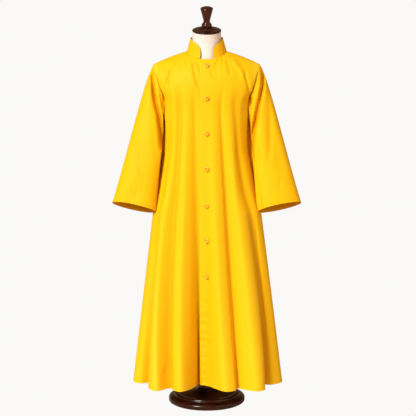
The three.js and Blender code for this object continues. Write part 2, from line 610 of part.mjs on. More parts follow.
function sleeveFold(side, at, t) {
  let depth = 0;
  for (const fold of SLEEVE_FOLDS) {
    if (fold.side !== side || t < fold.from || t > fold.to) continue;
    const share = (t - fold.from) / (fold.to - fold.from);
    const off = (at - lerp(fold.fromAt, fold.toAt, share)) / fold.spread;
    const start = fold.from < SLEEVE_FOLD_EASE ? 1 : ease((t - fold.from) / SLEEVE_FOLD_EASE);
    const finish = fold.to === 1 ? 1 : ease((fold.to - t) / SLEEVE_FOLD_EASE);
    depth += fold.depth * Math.exp(-off * off) * start * finish * ease(t / SLEEVE_FOLD_EASE);
  }
  return depth;
}

// Loop of the body's armhole on one side, on the left from the shoulder over the front.
function armholeLoop(side) {
  const name = side > 0 ? "left" : "right";
  const front = columnOf(`${name}_corner`);
  const back = columnOf(`back_${name}_corner`);
  const end = side > 0 ? back : back - columnCount;
  const loop = [];
  for (let r = topRow; r > chestRow; r -= 1) loop.push(body[r][front]);
  for (let c = front; c !== end; c += side) loop.push(body[chestRow][wrapColumn(c)]);
  for (let r = chestRow; r < topRow; r += 1) loop.push(body[r][back]);
  return loop.map((p) => mirrored(p, side));
}

function sleeveGeometry(side) {
  const loop = armholeLoop(side);
  const angles = loop.map((p) => {
    const from = sub(p, armholeMiddle);
    const up = dot(from, armholeHalf) / dot(armholeHalf, armholeHalf);
    const at = (Math.atan2(-from[1] / ARMHOLE_HALF_DEPTH, up) * 180) / Math.PI;
    return at < 0 ? at + 360 : at;
  });
  const start = loop.map((p) => add(p, armholeOut, SEAM_GAP));
  const grid = SLEEVE_STEPS.map((t) =>
    angles.map((at, i) => {
      const fit = sub(start[i], sleevePoint(at, 0));
      let p = add(sleevePoint(at, t), fit, 1 - ease(t / (2 * CLEAR_FROM)));
      const middle = mix(sleeveOuter(t), mix(UNDERARM_POINT, CUFF_INNER, t), 0.5);
      const inwards = unit([middle[0] - p[0], middle[1] - p[1], 0]);
      if (t > 0) p = add(p, inwards, sleeveFold(side, at, t));
      const turn = (Math.atan2(p[0] * side, -p[1]) * 180) / Math.PI;
      const r = Math.hypot(p[0], p[1]);
      const skirt = skirtRadius(turn, p[2]);
      const clear = skirt + SLEEVE_CLEAR * clamp01(t / CLEAR_FROM);
      if (t > 0 && skirt > 0 && r < clear) p = [(p[0] * clear) / r, (p[1] * clear) / r, p[2]];
      return p;
    }),
  );
  // Columns run from the shoulder over the front, so rows that run down the sleeve face outwards.
  const rows = grid.length;
  const columns = angles.length;
  const normal = (r, c) => {
    const around = sub(grid[r][(c + 1) % columns], grid[r][(c + columns - 1) % columns]);
    const down = sub(grid[Math.min(rows - 1, r + 1)][c], grid[Math.max(0, r - 1)][c]);
    return unit(cross(around, down)).map((v) => -v);
  };
  const facing = dot(normal(rows - 1, 0), [1, 0, 0]) > 0 ? 1 : -1;
  // At the armhole the wall never leans back over the body.
  const depth = (r, c) => {
    const n = normal(r, c).map((v) => v * facing);
    return r === 0 ? unit(add(n, armholeOut, -Math.max(0, dot(n, armholeOut)))) : n;
  };
  const inner = grid.map((ring, r) => ring.map((p, c) => add(p, depth(r, c), -WALL)));
  // Rows from the cuff up; the left sleeve's columns turn the other way to face outwards.
  const stand = (points) =>
    points
      .map((ring) => ring.map((p) => mirrored(p, side)))
      .map((ring) => (side > 0 ? ring.reverse() : ring))
      .reverse();
  return wallGeometry(stand(grid), stand(inner), true);
}

// ---- Collar ----
function collarGeometry() {
  const endTurn = (Math.asin(COLLAR_END_X / NECK_POINT[0]) * 180) / Math.PI;
  const turnOf = (i) => {
    const share = (2 * i) / (COLLAR_COLUMNS - 1) - 1;
    const crowd = Math.sign(share) * (1 - (1 - Math.abs(share)) ** COLLAR_CROWD);
    return 180 + crowd * (180 - endTurn);
  };
  const foot = (turn) => {
    const { side, fore, off } = standing(turn);
    return mirrored(neckline(off, fore), side);
  };
  const crown = (turn) => {
    const { side, fore, off } = standing(turn);
    const depth = fore > 0 ? COLLAR_TOP_FRONT : COLLAR_TOP_BACK;
    const x = side * COLLAR_TOP_HALF_WIDTH * Math.sin(radians(off));
    const y = COLLAR_TOP_MIDDLE_Y - fore * depth * Math.cos(radians(off));
    return [x, y, foot(turn)[2] + COLLAR_HEIGHT];
  };
  const end = foot(endTurn);
  const outer = Array.from({ length: COLLAR_ROWS + 1 }, (_, r) =>
    Array.from({ length: COLLAR_COLUMNS }, (_, i) => {
      const turn = turnOf(i);
      const low = add(foot(turn), [0, 0, COLLAR_SEAT]);
      const run = Math.min(COLLAR_END_ROUND, length(sub(mirrored(low, Math.sign(low[0])), end)));
      const short = standing(turn).fore > 0 ? COLLAR_END_ROUND - run : 0;
      const cut = COLLAR_END_ROUND - Math.sqrt(COLLAR_END_ROUND ** 2 - short ** 2);
      const height = (COLLAR_HEIGHT - cut) / COLLAR_HEIGHT;
      return mix(low, crown(turn), (height * r) / COLLAR_ROWS);
    }),
  );
  const inner = outer.map((ring, r) =>
    ring.map((p, i) => {
      const around = sub(ring[Math.min(COLLAR_COLUMNS - 1, i + 1)], ring[Math.max(0, i - 1)]);
      const up = sub(outer[COLLAR_ROWS][i], outer[0][i]);
      return add(p, unit(cross(around, up)), -WALL);
    }),
  );
  return wallGeometry(outer, inner, false);
}

// ---- Buttons ----
// Point of the left front's outside at a given X and height.
function frontPoint(x, z) {
  const columns = span(frontEdge, leftSeam).map((c) => {
    const column = body.map((ring) => ring[c]);
    let r = 1;
    while (r < topRow && z > column[r][2]) r += 1;
    return mix(column[r - 1], column[r], (z - column[r - 1][2]) / (column[r][2] - column[r - 1][2]));
  });
  let i = 1;
  while (columns[i][0] < x) i += 1;
  return mix(columns[i - 1], columns[i], (x - columns[i - 1][0]) / (columns[i][0] - columns[i - 1][0]));
}

// Where a button's middle lies and the way it faces, just clear of the cloth under all of it.
function buttonPlacement(z) {
  const middle = frontPoint(BUTTON_X, z);
  const across = sub(frontPoint(BUTTON_X + BUTTON_REACH, z), frontPoint(BUTTON_X - BUTTON_REACH, z));
  const up = sub(frontPoint(BUTTON_X, z + BUTTON_REACH), frontPoint(BUTTON_X, z - BUTTON_REACH));
  const out = unit(add(unit(cross(across, up)), [0, -BUTTON_FORWARD, 0]));
  const [foot, rim] = BUTTON_PROFILE;
  let lift = 0;
  for (let dx = -rim.r; dx <= rim.r; dx += 1)
    for (let dz = -rim.r; dz <= rim.r; dz += 1) {
      const under = rim.h * clamp01((Math.hypot(dx, dz) - foot.r) / (rim.r - foot.r));
      if (Math.hypot(dx, dz) > rim.r) continue;
      lift = Math.max(lift, dot(sub(frontPoint(BUTTON_X + dx, z + dz), middle), out) - under);
    }
  return { at: add(middle, out, lift + SEAM_GAP), out };
}

// ---- Dress form ----
function formGeometry() {
  const slope = (NECK_POINT[2] - SHOULDER_POINT[2]) / (SHOULDER_POINT[0] - NECK_POINT[0]);
  const under = (WALL + FORM_REST_GAP) * Math.hypot(1, slope);
  const shareAt = (x) => (x - NECK_POINT[0]) / (SHOULDER_POINT[0] - NECK_POINT[0]);
  const ridgeZ = (x) => shoulderSeam(shareAt(x))[2] - under;
  const shoulders = Array.from({ length: FORM_SHOULDER_STEPS + 1 }, (_, i) => {
    const t = i / FORM_SHOULDER_STEPS;
    const x = lerp(FORM_TIP.x, FORM_NECK_FOOT.x, t);
    return {
      z: ridgeZ(x),
      halfWidth: x,
      front: lerp(FORM_TIP.front, FORM_NECK_FOOT.front, t),
      back: lerp(FORM_TIP.back, FORM_NECK_FOOT.back, t),
      middleY: lerp(NECK_POINT[1], SHOULDER_POINT[1], shareAt(x)),
      lean: 0,
      round: lerp(FORM_TIP.round, FORM_NECK_FOOT.round, t),
    };
  });
  const neckTop = {
    z: NECK_TOP.z,
    halfWidth: NECK_TOP_RADIUS,
    front: NECK_TOP_RADIUS * Math.cos(Math.atan(NECK_LEAN)),
    back: NECK_TOP_RADIUS * Math.cos(Math.atan(NECK_LEAN)),
    middleY: NECK_TOP.y,
    lean: NECK_LEAN,
    round: 2,
  };
  const sections = [...FORM_SECTIONS, ...shoulders, ...NECK_SECTIONS, neckTop];
  const rings = sections.map((s) =>
    Array.from({ length: FORM_SEGMENTS }, (_, i) => {
      const at = (360 * i) / FORM_SEGMENTS;
      const bend = (v) => Math.sign(v) * Math.abs(v) ** (2 / s.round);
      const y = -bend(Math.cos(radians(at))) * (Math.cos(radians(at)) > 0 ? s.front : s.back);
      return [s.halfWidth * bend(Math.sin(radians(at))), s.middleY + y, s.z + s.lean * y];
    }),
  );
  return ringSolid(rings);
}

// ---- The part ----
const cassock = new THREE.Group();
const cloth = { color: 0xfac10c, roughness: 0.85 };
const jersey = { color: 0xf9f2ea, roughness: 0.9 };
const wood = { color: 0x442014, roughness: 0.35 };
const shell = { color: 0xf5c426, roughness: 0.3 };

function place(name, geometry, finish) {
  const mesh = new THREE.Mesh(geometry, new THREE.MeshStandardMaterial(finish));
  mesh.name = name;
  cassock.add(mesh);
  return mesh;
}

place("front_right", bodyPanel(span(0, lapEnd), lapSink), cloth);
place("front_left", bodyPanel(span(frontEdge, leftSeam), () => 0), cloth);
place("back", bodyPanel(span(leftSeam, columnCount), () => 0), cloth);
place("sleeve_left", sleeveGeometry(1), cloth);
place("sleeve_right", sleeveGeometry(-1), cloth);
place("collar", collarGeometry(), cloth);

BUTTON_HEIGHTS.forEach((z, i) => {
  const { at, out } = buttonPlacement(z);
  const button = place(`button_${i + 1}`, turned(BUTTON_PROFILE, BUTTON_SEGMENTS), shell);
  button.position.set(...at);
  button.quaternion.setFromUnitVectors(new THREE.Vector3(0, 0, 1), new THREE.Vector3(...out));
});

place("form", formGeometry(), jersey);
const tilt = Math.atan(NECK_LEAN);
const capFoot = [0, NECK_TOP.y - SEAM_GAP * Math.sin(tilt), NECK_TOP.z + SEAM_GAP * Math.cos(tilt)];
const cap = place("neck_cap", turned(CAP_PROFILE, WOOD_SEGMENTS), wood);
cap.position.set(...capFoot);
cap.rotation.x = tilt;
const finial = place("finial", turned(FINIAL_PROFILE, SMALL_WOOD_SEGMENTS), wood);
const finialFoot = CAP_HEIGHT + SEAM_GAP;
finial.position.set(...add(capFoot, [0, -Math.sin(tilt) * finialFoot, Math.cos(tilt) * finialFoot]));
finial.rotation.x = tilt;

place("base", turned(BASE_PROFILE, WOOD_SEGMENTS), wood);
const postProfile = [
  { r: POST_RADIUS, h: HUB_TOP + SEAM_GAP },
  { r: POST_RADIUS, h: FORM_SECTIONS[0].z - SEAM_GAP },
];
place("post", turned(postProfile, SMALL_WOOD_SEGMENTS), wood);

export default cassock;
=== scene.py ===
"""Choir cassock on a limbless dress form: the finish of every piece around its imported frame.

Sizes are in millimetres, +Z up, the front faces -Y and +X is the wearer's left. They become
metres when a mesh is made.
"""

from __future__ import annotations

import json
import logging
import math
from collections.abc import Sequence
from dataclasses import dataclass, field
from enum import Enum

import bmesh
import bpy
import numpy as np
from mathutils import Matrix, Vector

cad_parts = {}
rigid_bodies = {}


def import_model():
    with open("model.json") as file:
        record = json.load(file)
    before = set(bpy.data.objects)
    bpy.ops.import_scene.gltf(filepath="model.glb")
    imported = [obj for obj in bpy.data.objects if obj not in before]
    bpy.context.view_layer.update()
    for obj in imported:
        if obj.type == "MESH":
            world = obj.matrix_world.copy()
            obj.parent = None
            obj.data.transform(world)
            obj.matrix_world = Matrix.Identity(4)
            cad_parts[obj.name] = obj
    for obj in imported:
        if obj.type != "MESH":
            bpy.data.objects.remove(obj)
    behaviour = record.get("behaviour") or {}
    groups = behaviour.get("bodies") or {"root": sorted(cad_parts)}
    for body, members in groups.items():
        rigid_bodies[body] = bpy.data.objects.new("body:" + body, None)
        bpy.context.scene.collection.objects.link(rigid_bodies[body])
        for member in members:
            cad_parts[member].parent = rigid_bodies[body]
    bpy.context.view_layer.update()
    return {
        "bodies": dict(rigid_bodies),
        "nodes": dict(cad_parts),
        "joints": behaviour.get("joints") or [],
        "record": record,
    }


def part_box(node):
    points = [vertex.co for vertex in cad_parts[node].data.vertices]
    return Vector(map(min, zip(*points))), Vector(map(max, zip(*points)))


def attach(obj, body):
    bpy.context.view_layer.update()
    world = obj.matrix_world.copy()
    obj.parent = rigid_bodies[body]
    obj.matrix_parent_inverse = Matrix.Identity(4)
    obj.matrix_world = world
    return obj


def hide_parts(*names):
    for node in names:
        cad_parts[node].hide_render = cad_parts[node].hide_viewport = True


logging.basicConfig(level=logging.INFO, format="%(levelname)s %(message)s")
LOG = logging.getLogger("cassock")

MM = 0.001
BODY = "root"
Array = np.ndarray
Point = tuple[float, float, float]


class Side(Enum):
    """The wearer's right or left, as the sign of X."""

    RIGHT = -1
    LEFT = 1


class Face(Enum):
    """Front or back of the garment, as the sign of -Y."""

    FRONT = 1
    BACK = -1


# ---- Small maths ----
def ease(t: Array | float) -> Array:
    """Smooth step from 0 to 1."""
    t = np.clip(t, 0.0, 1.0)
    return t * t * (3.0 - 2.0 * t)


def lerp(a: Array | float, b: Array | float, t: Array | float) -> Array:
    """Straight blend from a to b."""
    return a + (b - a) * t


def unit(v: Array) -> Array:
    """Vectors of length 1 along the last axis."""
    return v / np.maximum(np.linalg.norm(v, axis=-1, keepdims=True), 1e-9)


def on_side(side: Array) -> Array:
    """Factors that put points of the left half on the side that each belongs to."""
    return np.stack([side, np.ones_like(side), np.ones_like(side)], axis=1)


def smoothed_round(points: Array, times: int) -> Array:
    """Rows of a closed grid, each evened out along itself a number of times."""
    for _ in range(times):
        points = (np.roll(points, 1, axis=1) + 2 * points + np.roll(points, -1, axis=1)) / 4
    return points


def run_lengths(points: Array, axis: int) -> Array:
    """Mean distance of each row or column of a grid from the first, along the given axis."""
    steps = np.linalg.norm(np.diff(points, axis=axis), axis=2).mean(axis=1 - axis)
    return np.concatenate([[0], np.cumsum(steps)])


@dataclass(frozen=True)
class Ramp:
    """A smooth rise from 0 to 1, by where it starts and how far it runs."""

    start: float
    run: float

    def at(self, value: Array | float) -> Array:
        """Height of the rise at a value."""
        return ease((value - self.start) / self.run)


def polar(at: Array | float, r: Array | float, z: Array | float) -> Array:
    """Points at an angle from the front, in degrees, a radius and a height."""
    turn = np.radians(at)
    return np.stack(np.broadcast_arrays(r * np.sin(turn), -r * np.cos(turn), z), axis=-1)


def bezier(curve: Sequence[Array], t: Array | float) -> Array:
    """Point of a cubic curve with four control points.

    Args:
        curve: the control points, each of shape (..., 3).
        t: share of the way, which broadcasts with them.

    Returns:
        The points of the curve.
    """
    a, b, c, d = curve
    s = 1.0 - t
    return a * s**3 + 3 * b * s * s * t + 3 * c * s * t * t + d * t**3


def smooth_through(points: Array, places: Array) -> Array:
    """Values of a closed centripetal curve through a ring of points.

    Args:
        points: the ring, of shape (n, 3).
        places: positions along it, where a whole number is a point of the ring.

    Returns:
        One point for each place.
    """
    n = len(points)
    start = np.floor(places).astype(int)
    share = places - start
    p = [points[(start + k) % n] for k in (-1, 0, 1, 2)]
    knots = [np.zeros(len(places))]
    for k in range(3):
        knots.append(knots[-1] + np.sqrt(np.linalg.norm(p[k + 1] - p[k], axis=1)))
    at = lerp(knots[1], knots[2], share)

    def blend(a: Array, b: Array, first: int, last: int) -> Array:
        """Blend of two points over a stretch of knots."""
        t = (at - knots[first]) / (knots[last] - knots[first])
        return a + (b - a) * t[:, None]

    ab, bc, cd = blend(p[0], p[1], 0, 1), blend(p[1], p[2], 1, 2), blend(p[2], p[3], 2, 3)
    return blend(blend(ab, bc, 0, 2), blend(bc, cd, 1, 3), 1, 2)


# ---- Cut of the cassock ----
@dataclass(frozen=True)
class GirthRow:
    """Plain girth at one height: half-width, depth to front and back, squareness of the outline."""

    z: float
    half_width: float
    front: float
    back: float
    square: float


@dataclass(frozen=True)
class FoldLine:
    """A line down the cloth: its angle from the front and how far it stands out, at three heights."""

    name: str
    chest_at: float
    chest: float
    hip_at: float
    hip: float
    hem_at: float
    hem: float


@dataclass(frozen=True)
class Reach:
    """How the cloth leaves the neckline on one face: at its centre and beside the neck."""

    centre: float
    side: float
    side_out: float
    centre_drop: float
    side_drop: float


@dataclass(frozen=True)
class Crease:
    """A soft trough pressed into the cloth along a path, or a ridge where its depth is negative."""

    path: tuple[tuple[float, float], ...]
    width: float
    depth: float
    fade: float = 0.3
    widen: float = 1.0
    lip: float = 0.0
    skew: float = 1.0
    least: float = 0.05

    def dip(self, across: Array, up: Array) -> Array:
        """How far the cloth is pressed in.

        Args:
            across: X of each point.
            up: Z of each point.

        Returns:
            The depth at each point, which fades to its least share at both ends of the path.
        """
        nodes = np.array(self.path, float)
        steps = np.linalg.norm(np.diff(nodes, axis=0), axis=1)
        before = np.concatenate([[0.0], np.cumsum(steps)])
        nearest = np.full(across.shape, np.inf)
        share, beside = np.zeros(across.shape), np.zeros(across.shape)
        for k, length in enumerate(steps):
            way = (nodes[k + 1] - nodes[k]) / length
            along = (across - nodes[k][0]) * way[0] + (up - nodes[k][1]) * way[1]
            held = np.clip(along, 0.0, length)
            off = np.hypot(across - nodes[k][0] - way[0] * held, up - nodes[k][1] - way[1] * held)
            closer = off < nearest
            nearest = np.where(closer, off, nearest)
            share = np.where(closer, (before[k] + held) / before[-1], share)
            beside = np.where(closer, across - nodes[k][0] - way[0] * held, beside)
        ends = ease(share / self.fade) * ease((1.0 - share) / self.fade)
        size = lerp(1.0, self.widen, share)
        off = (nearest / (self.width * size * np.where(beside < 0, self.skew, 1.0))) ** 2
        return self.depth * size * (1.0 - self.lip * off) * np.exp(-off) * lerp(self.least, 1, ends)


@dataclass(frozen=True)
class Pucker:
    """A small crease beside the buttoned edge: its height, how far it runs across, slope and depth."""

    height: float
    run: float
    slope: float
    depth: float
    start: float = -34
    lead: float = -27
    width: float = 6.5
    strength: float = 1.3

    def crease(self) -> Crease:
        """The crease that it presses into the cloth."""
        path = ((self.start, self.height), (self.lead + self.run, self.height + self.slope))
        return Crease(path, self.width, self.strength * self.depth, fade=0.35, widen=0.6)


@dataclass(frozen=True)
class StitchLine:
    """The sewn line beside a turned edge, at a distance from the edge."""

    band: float = 8
    dip: float = 0.6
    half_width: float = 1.3
    swell: float = 0.35
    swell_run: float = 2

    def rows(self) -> Array:
        """Distances from the edge of the rows of cloth beside it and beside the stitches."""
        band = self.band
        return np.array([0, 1.2, 3.5, band - 2.2, band - 1, band, band + 1, band + 2.2, band + 6])

    def depth(self, off: Array) -> Array:
        """How far the stitches draw the cloth in, at distances from the edge."""
        drawn = self.dip * np.exp(-(((off - self.band) / self.half_width) ** 2))
        return drawn - self.swell * ease((self.band - off) / self.swell_run)


@dataclass(frozen=True)
class CassockCut:
    """Heights and landmarks of the cassock, left side; the right side is its mirror image."""

    hem: float = 97
    hip: float = 711
    chest: float = 1211
    shoulder: Point = (216, 4, 1395)
    underarm: Point = (168, 0, 1212)
    neck: Point = (80, -5, 1448)
    shoulder_arch: float = 3.5
    neck_front: Point = (0, -75, 1416)
    neck_back: Point = (0, 62, 1462)
    armhole_half_depth: float = 60
    armhole_corner: float = 130
    neck_corner: float = 40
    neck_crowd: float = 1.37
    corner_draw: float = 4
    corner_turn: float = 3
    fit_rise: float = 170
    chest_rise: tuple[float, float] = (5, 82)
    front_reach: Reach = Reach(38, 103, 26, 44, 36)
    back_reach: Reach = Reach(38, 93, 30, 24, 14)
    girth: tuple[GirthRow, ...] = (
        GirthRow(97, 288, 195, 188, 3),
        GirthRow(711, 222, 153, 146, 2.6),
        GirthRow(1211, 168, 118, 108, 2.3),
    )


FOLD_LINES = (
    FoldLine("right_seam", -90, 0, -90, 3, -90, 4),
    FoldLine("right_side_ridge", -83, 0, -82.5, 9, -78.5, 18),
    FoldLine("right_corner", -75.4, 0, -74, 5, -71, -4),
    FoldLine("right_crease", -67, 0, -67.5, -5, -69.8, -45),
    FoldLine("right_fold_flank", -60, 1, -61.5, 9, -56, 8),
    FoldLine("right_fold_ridge", -53, 2, -56, 11, -44.5, 37),
    FoldLine("trough_a", -47, -10, -49, -18, -41.6, -24),
    FoldLine("middle_fold_flank", -40, 0, -40, 6, -33, 10),
    FoldLine("middle_fold_ridge", -34, 2, -32, 14, -25.8, 23),
    FoldLine("middle_fold_slope", -29, -1, -25, -4, -20.5, -17),
    FoldLine("trough_b", -24, -7, -17.5, -28, -17, -76),
    FoldLine("front_edge", -13.5, 0, -12.3, -22, -13.3, -80),
    FoldLine("button_line", 0, 1, 0.6, -12, 2.2, -63),
    FoldLine("front_rise", 8, 2, 8, 3, 12.3, -22),
    FoldLine("front_fold_ridge", 14, 2, 14, 11, 19.8, 19),
    FoldLine("front_fold_flank", 21, -1, 24.6, 1, 30, 7),
    FoldLine("trough_c", 27, -6, 34.4, -20, 37, -27),
    FoldLine("left_fold_slope", 31, 0, 38.4, -5, 40.2, 12),
    FoldLine("left_fold_ridge", 36, 2, 43.4, 13, 44.6, 42),
    FoldLine("left_fold_flank", 40, 2, 54, 7, 51.7, 31),
    FoldLine("trough_d", 49, -5, 65, -9, 64, -31),
    FoldLine("left_side_slope", 60, 1, 70, 4, 66.8, -3),
    FoldLine("left_corner", 75.4, 0, 77, 13, 75, 23),
    FoldLine("left_side_ridge", 83, 0, 83.5, 12, 81, 25),
    FoldLine("left_seam", 90, 0, 90, 3, 90, 6),
    FoldLine("back_left_side_ridge", 97, 0, 98, 6, 99, 12),
    FoldLine("back_left_corner", 104.6, 0, 106, -4, 108, -14),
    FoldLine("back_left_ridge", 115, 2, 117, 9, 119, 27),
    FoldLine("back_left_trough", 126, -2, 129, -11, 131, -27),
    FoldLine("back_left_blade", 140, 2, 141, 9, 142, 26),
    FoldLine("back_centre_left", 153, -2, 154, -12, 155, -34),
    FoldLine("back_left_pleat", 166, 2, 167, 9, 168, 20),
    FoldLine("back_centre", 180, 0, 180, -8, 180, -26),
    FoldLine("back_right_pleat", 194, 2, 192, 10, 191, 24),
    FoldLine("back_centre_right", 207, -2, 205, -10, 203, -30),
    FoldLine("back_right_blade", 220, 2, 218, 10, 216, 28),
    FoldLine("back_right_trough", 234, -2, 231, -10, 229, -25),
    FoldLine("back_right_ridge", 245, 2, 243, 8, 241, 24),
    FoldLine("back_right_corner", 255.4, 0, 254, -4, 252, -16),
    FoldLine("back_right_side_ridge", 263, 0, 262, 6, 261, 12),
)
LINE_PLACE = {line.name: place for place, line in enumerate(FOLD_LINES)}
CORNER_LINES = ("right_corner", "left_corner", "back_left_corner", "back_right_corner")

FRONT_CREASES = (
    # From the collar down to the buttoned edge, and beside the top button.
    Crease(((-58, 1424), (-48, 1364), (-37, 1324), (-25, 1282)), 7, 6.5, 0.3, 0.9, 0.3, 1.2),
    Crease(((-42, 1420), (-24, 1362)), 5, 4.5, 0.3, 1.0, 0.2),
    Crease(((-84, 1436), (-76, 1376)), 8, 3.0),
    Crease(((-104, 1420), (-98, 1352)), 9, 1.8),
    Crease(((-26, 1350), (-27, 1250)), 3.0, 1.2),
    Crease(((-10, 1412), (-2, 1398)), 6, 1.6),
    Crease(((14, 1378), (30, 1340)), 9, 2.6),
    # From the wearer's right shoulder.
    Crease(((-112, 1436), (-127, 1404), (-126, 1376)), 7, 5.0, 0.3, 0.8),
    Crease(((-135, 1394), (-146, 1364), (-154, 1332), (-156, 1298)), 4.5, 6.0, 0.3, 1.1, 0.3, 1.3),
    Crease(((-172, 1394), (-163, 1360)), 5.5, 3.6),
    Crease(((-186, 1380), (-180, 1330)), 7, -2.4),
    Crease(((-200, 1392), (-192, 1356)), 4, 1.8),
    # From the collar and the wearer's left shoulder.
    Crease(((56, 1424), (40, 1400), (28, 1392)), 5, 4.0),
    Crease(((66, 1426), (61, 1396)), 4, 4.4),
    Crease(((78, 1432), (86, 1390), (95, 1344)), 6, 4.0, 0.25, 1.2),
    Crease(((88, 1430), (101, 1416), (133, 1372), (157, 1312)), 9, -6.0, 0.3, 0.8),
    Crease(((120, 1420), (152, 1384)), 8, 2.6),
    Crease(((154, 1382), (156, 1348), (166, 1312), (172, 1270)), 4.5, 7.0, 0.28, 1.1, 0.3, 1.4),
    Crease(((34, 1405), (42, 1330)), 9, 1.8),
    # Where the armholes fold in behind the chest.
    Crease(((-177, 1286), (-172, 1250), (-168, 1196)), 4.5, 13, 0.3),
    Crease(((177, 1292), (171, 1250), (167, 1196)), 5.5, 17, 0.3),
    # The wearer's right side of the hem, and a line pressed into each side of the skirt.
    Crease(((-166, 196), (-160, 98)), 5, 4.2, 0.2),
    Crease(((-178, 176), (-174, 100)), 4.5, 3.0, 0.2),
    Crease(((196, 800), (203, 700), (214, 560), (228, 430), (243, 300)), 4, 2.6, 0.2),
    Crease(((-92, 1000), (-98, 800), (-106, 620)), 5, 1.4),
)
PLACKET_PUCKERS = (
    Pucker(560, 26, -5, 1.4),
    Pucker(503, 30, 4, 1.6),
    Pucker(447, 40, -5, 2.4),
    Pucker(419, 34, 4, 2.2),
    Pucker(389, 44, -6, 3.0),
    Pucker(357, 48, -9, 3.8),
    Pucker(318, 50, -7, 4.2),
    Pucker(287, 52, -9, 4.2),
    Pucker(256, 40, 4, 2.8),
    Pucker(219, 46, -8, 3.4),
    Pucker(185, 42, -9, 3.0),
    Pucker(150, 40, -8, 3.0),
    Pucker(112, 44, 5, 2.6),
)
BACK_CREASES = (
    Crease(((-70, 1440), (-96, 1390), (-128, 1340)), 9, 2.6),
    Crease(((78, 1440), (104, 1384), (124, 1346)), 8, 2.2),
    Crease(((-120, 1402), (-150, 1350), (-164, 1310)), 8, 2.4),
    Crease(((132, 1396), (156, 1352), (168, 1302)), 9, 2.8),
    Crease(((-30, 1440), (-40, 1380)), 8, 1.4),
    Crease(((34, 1442), (26, 1370)), 8, 1.6),
    Crease(((-150, 220), (-156, 100)), 7, 2.0),
    Crease(((172, 210), (166, 100)), 7, 1.8),
)


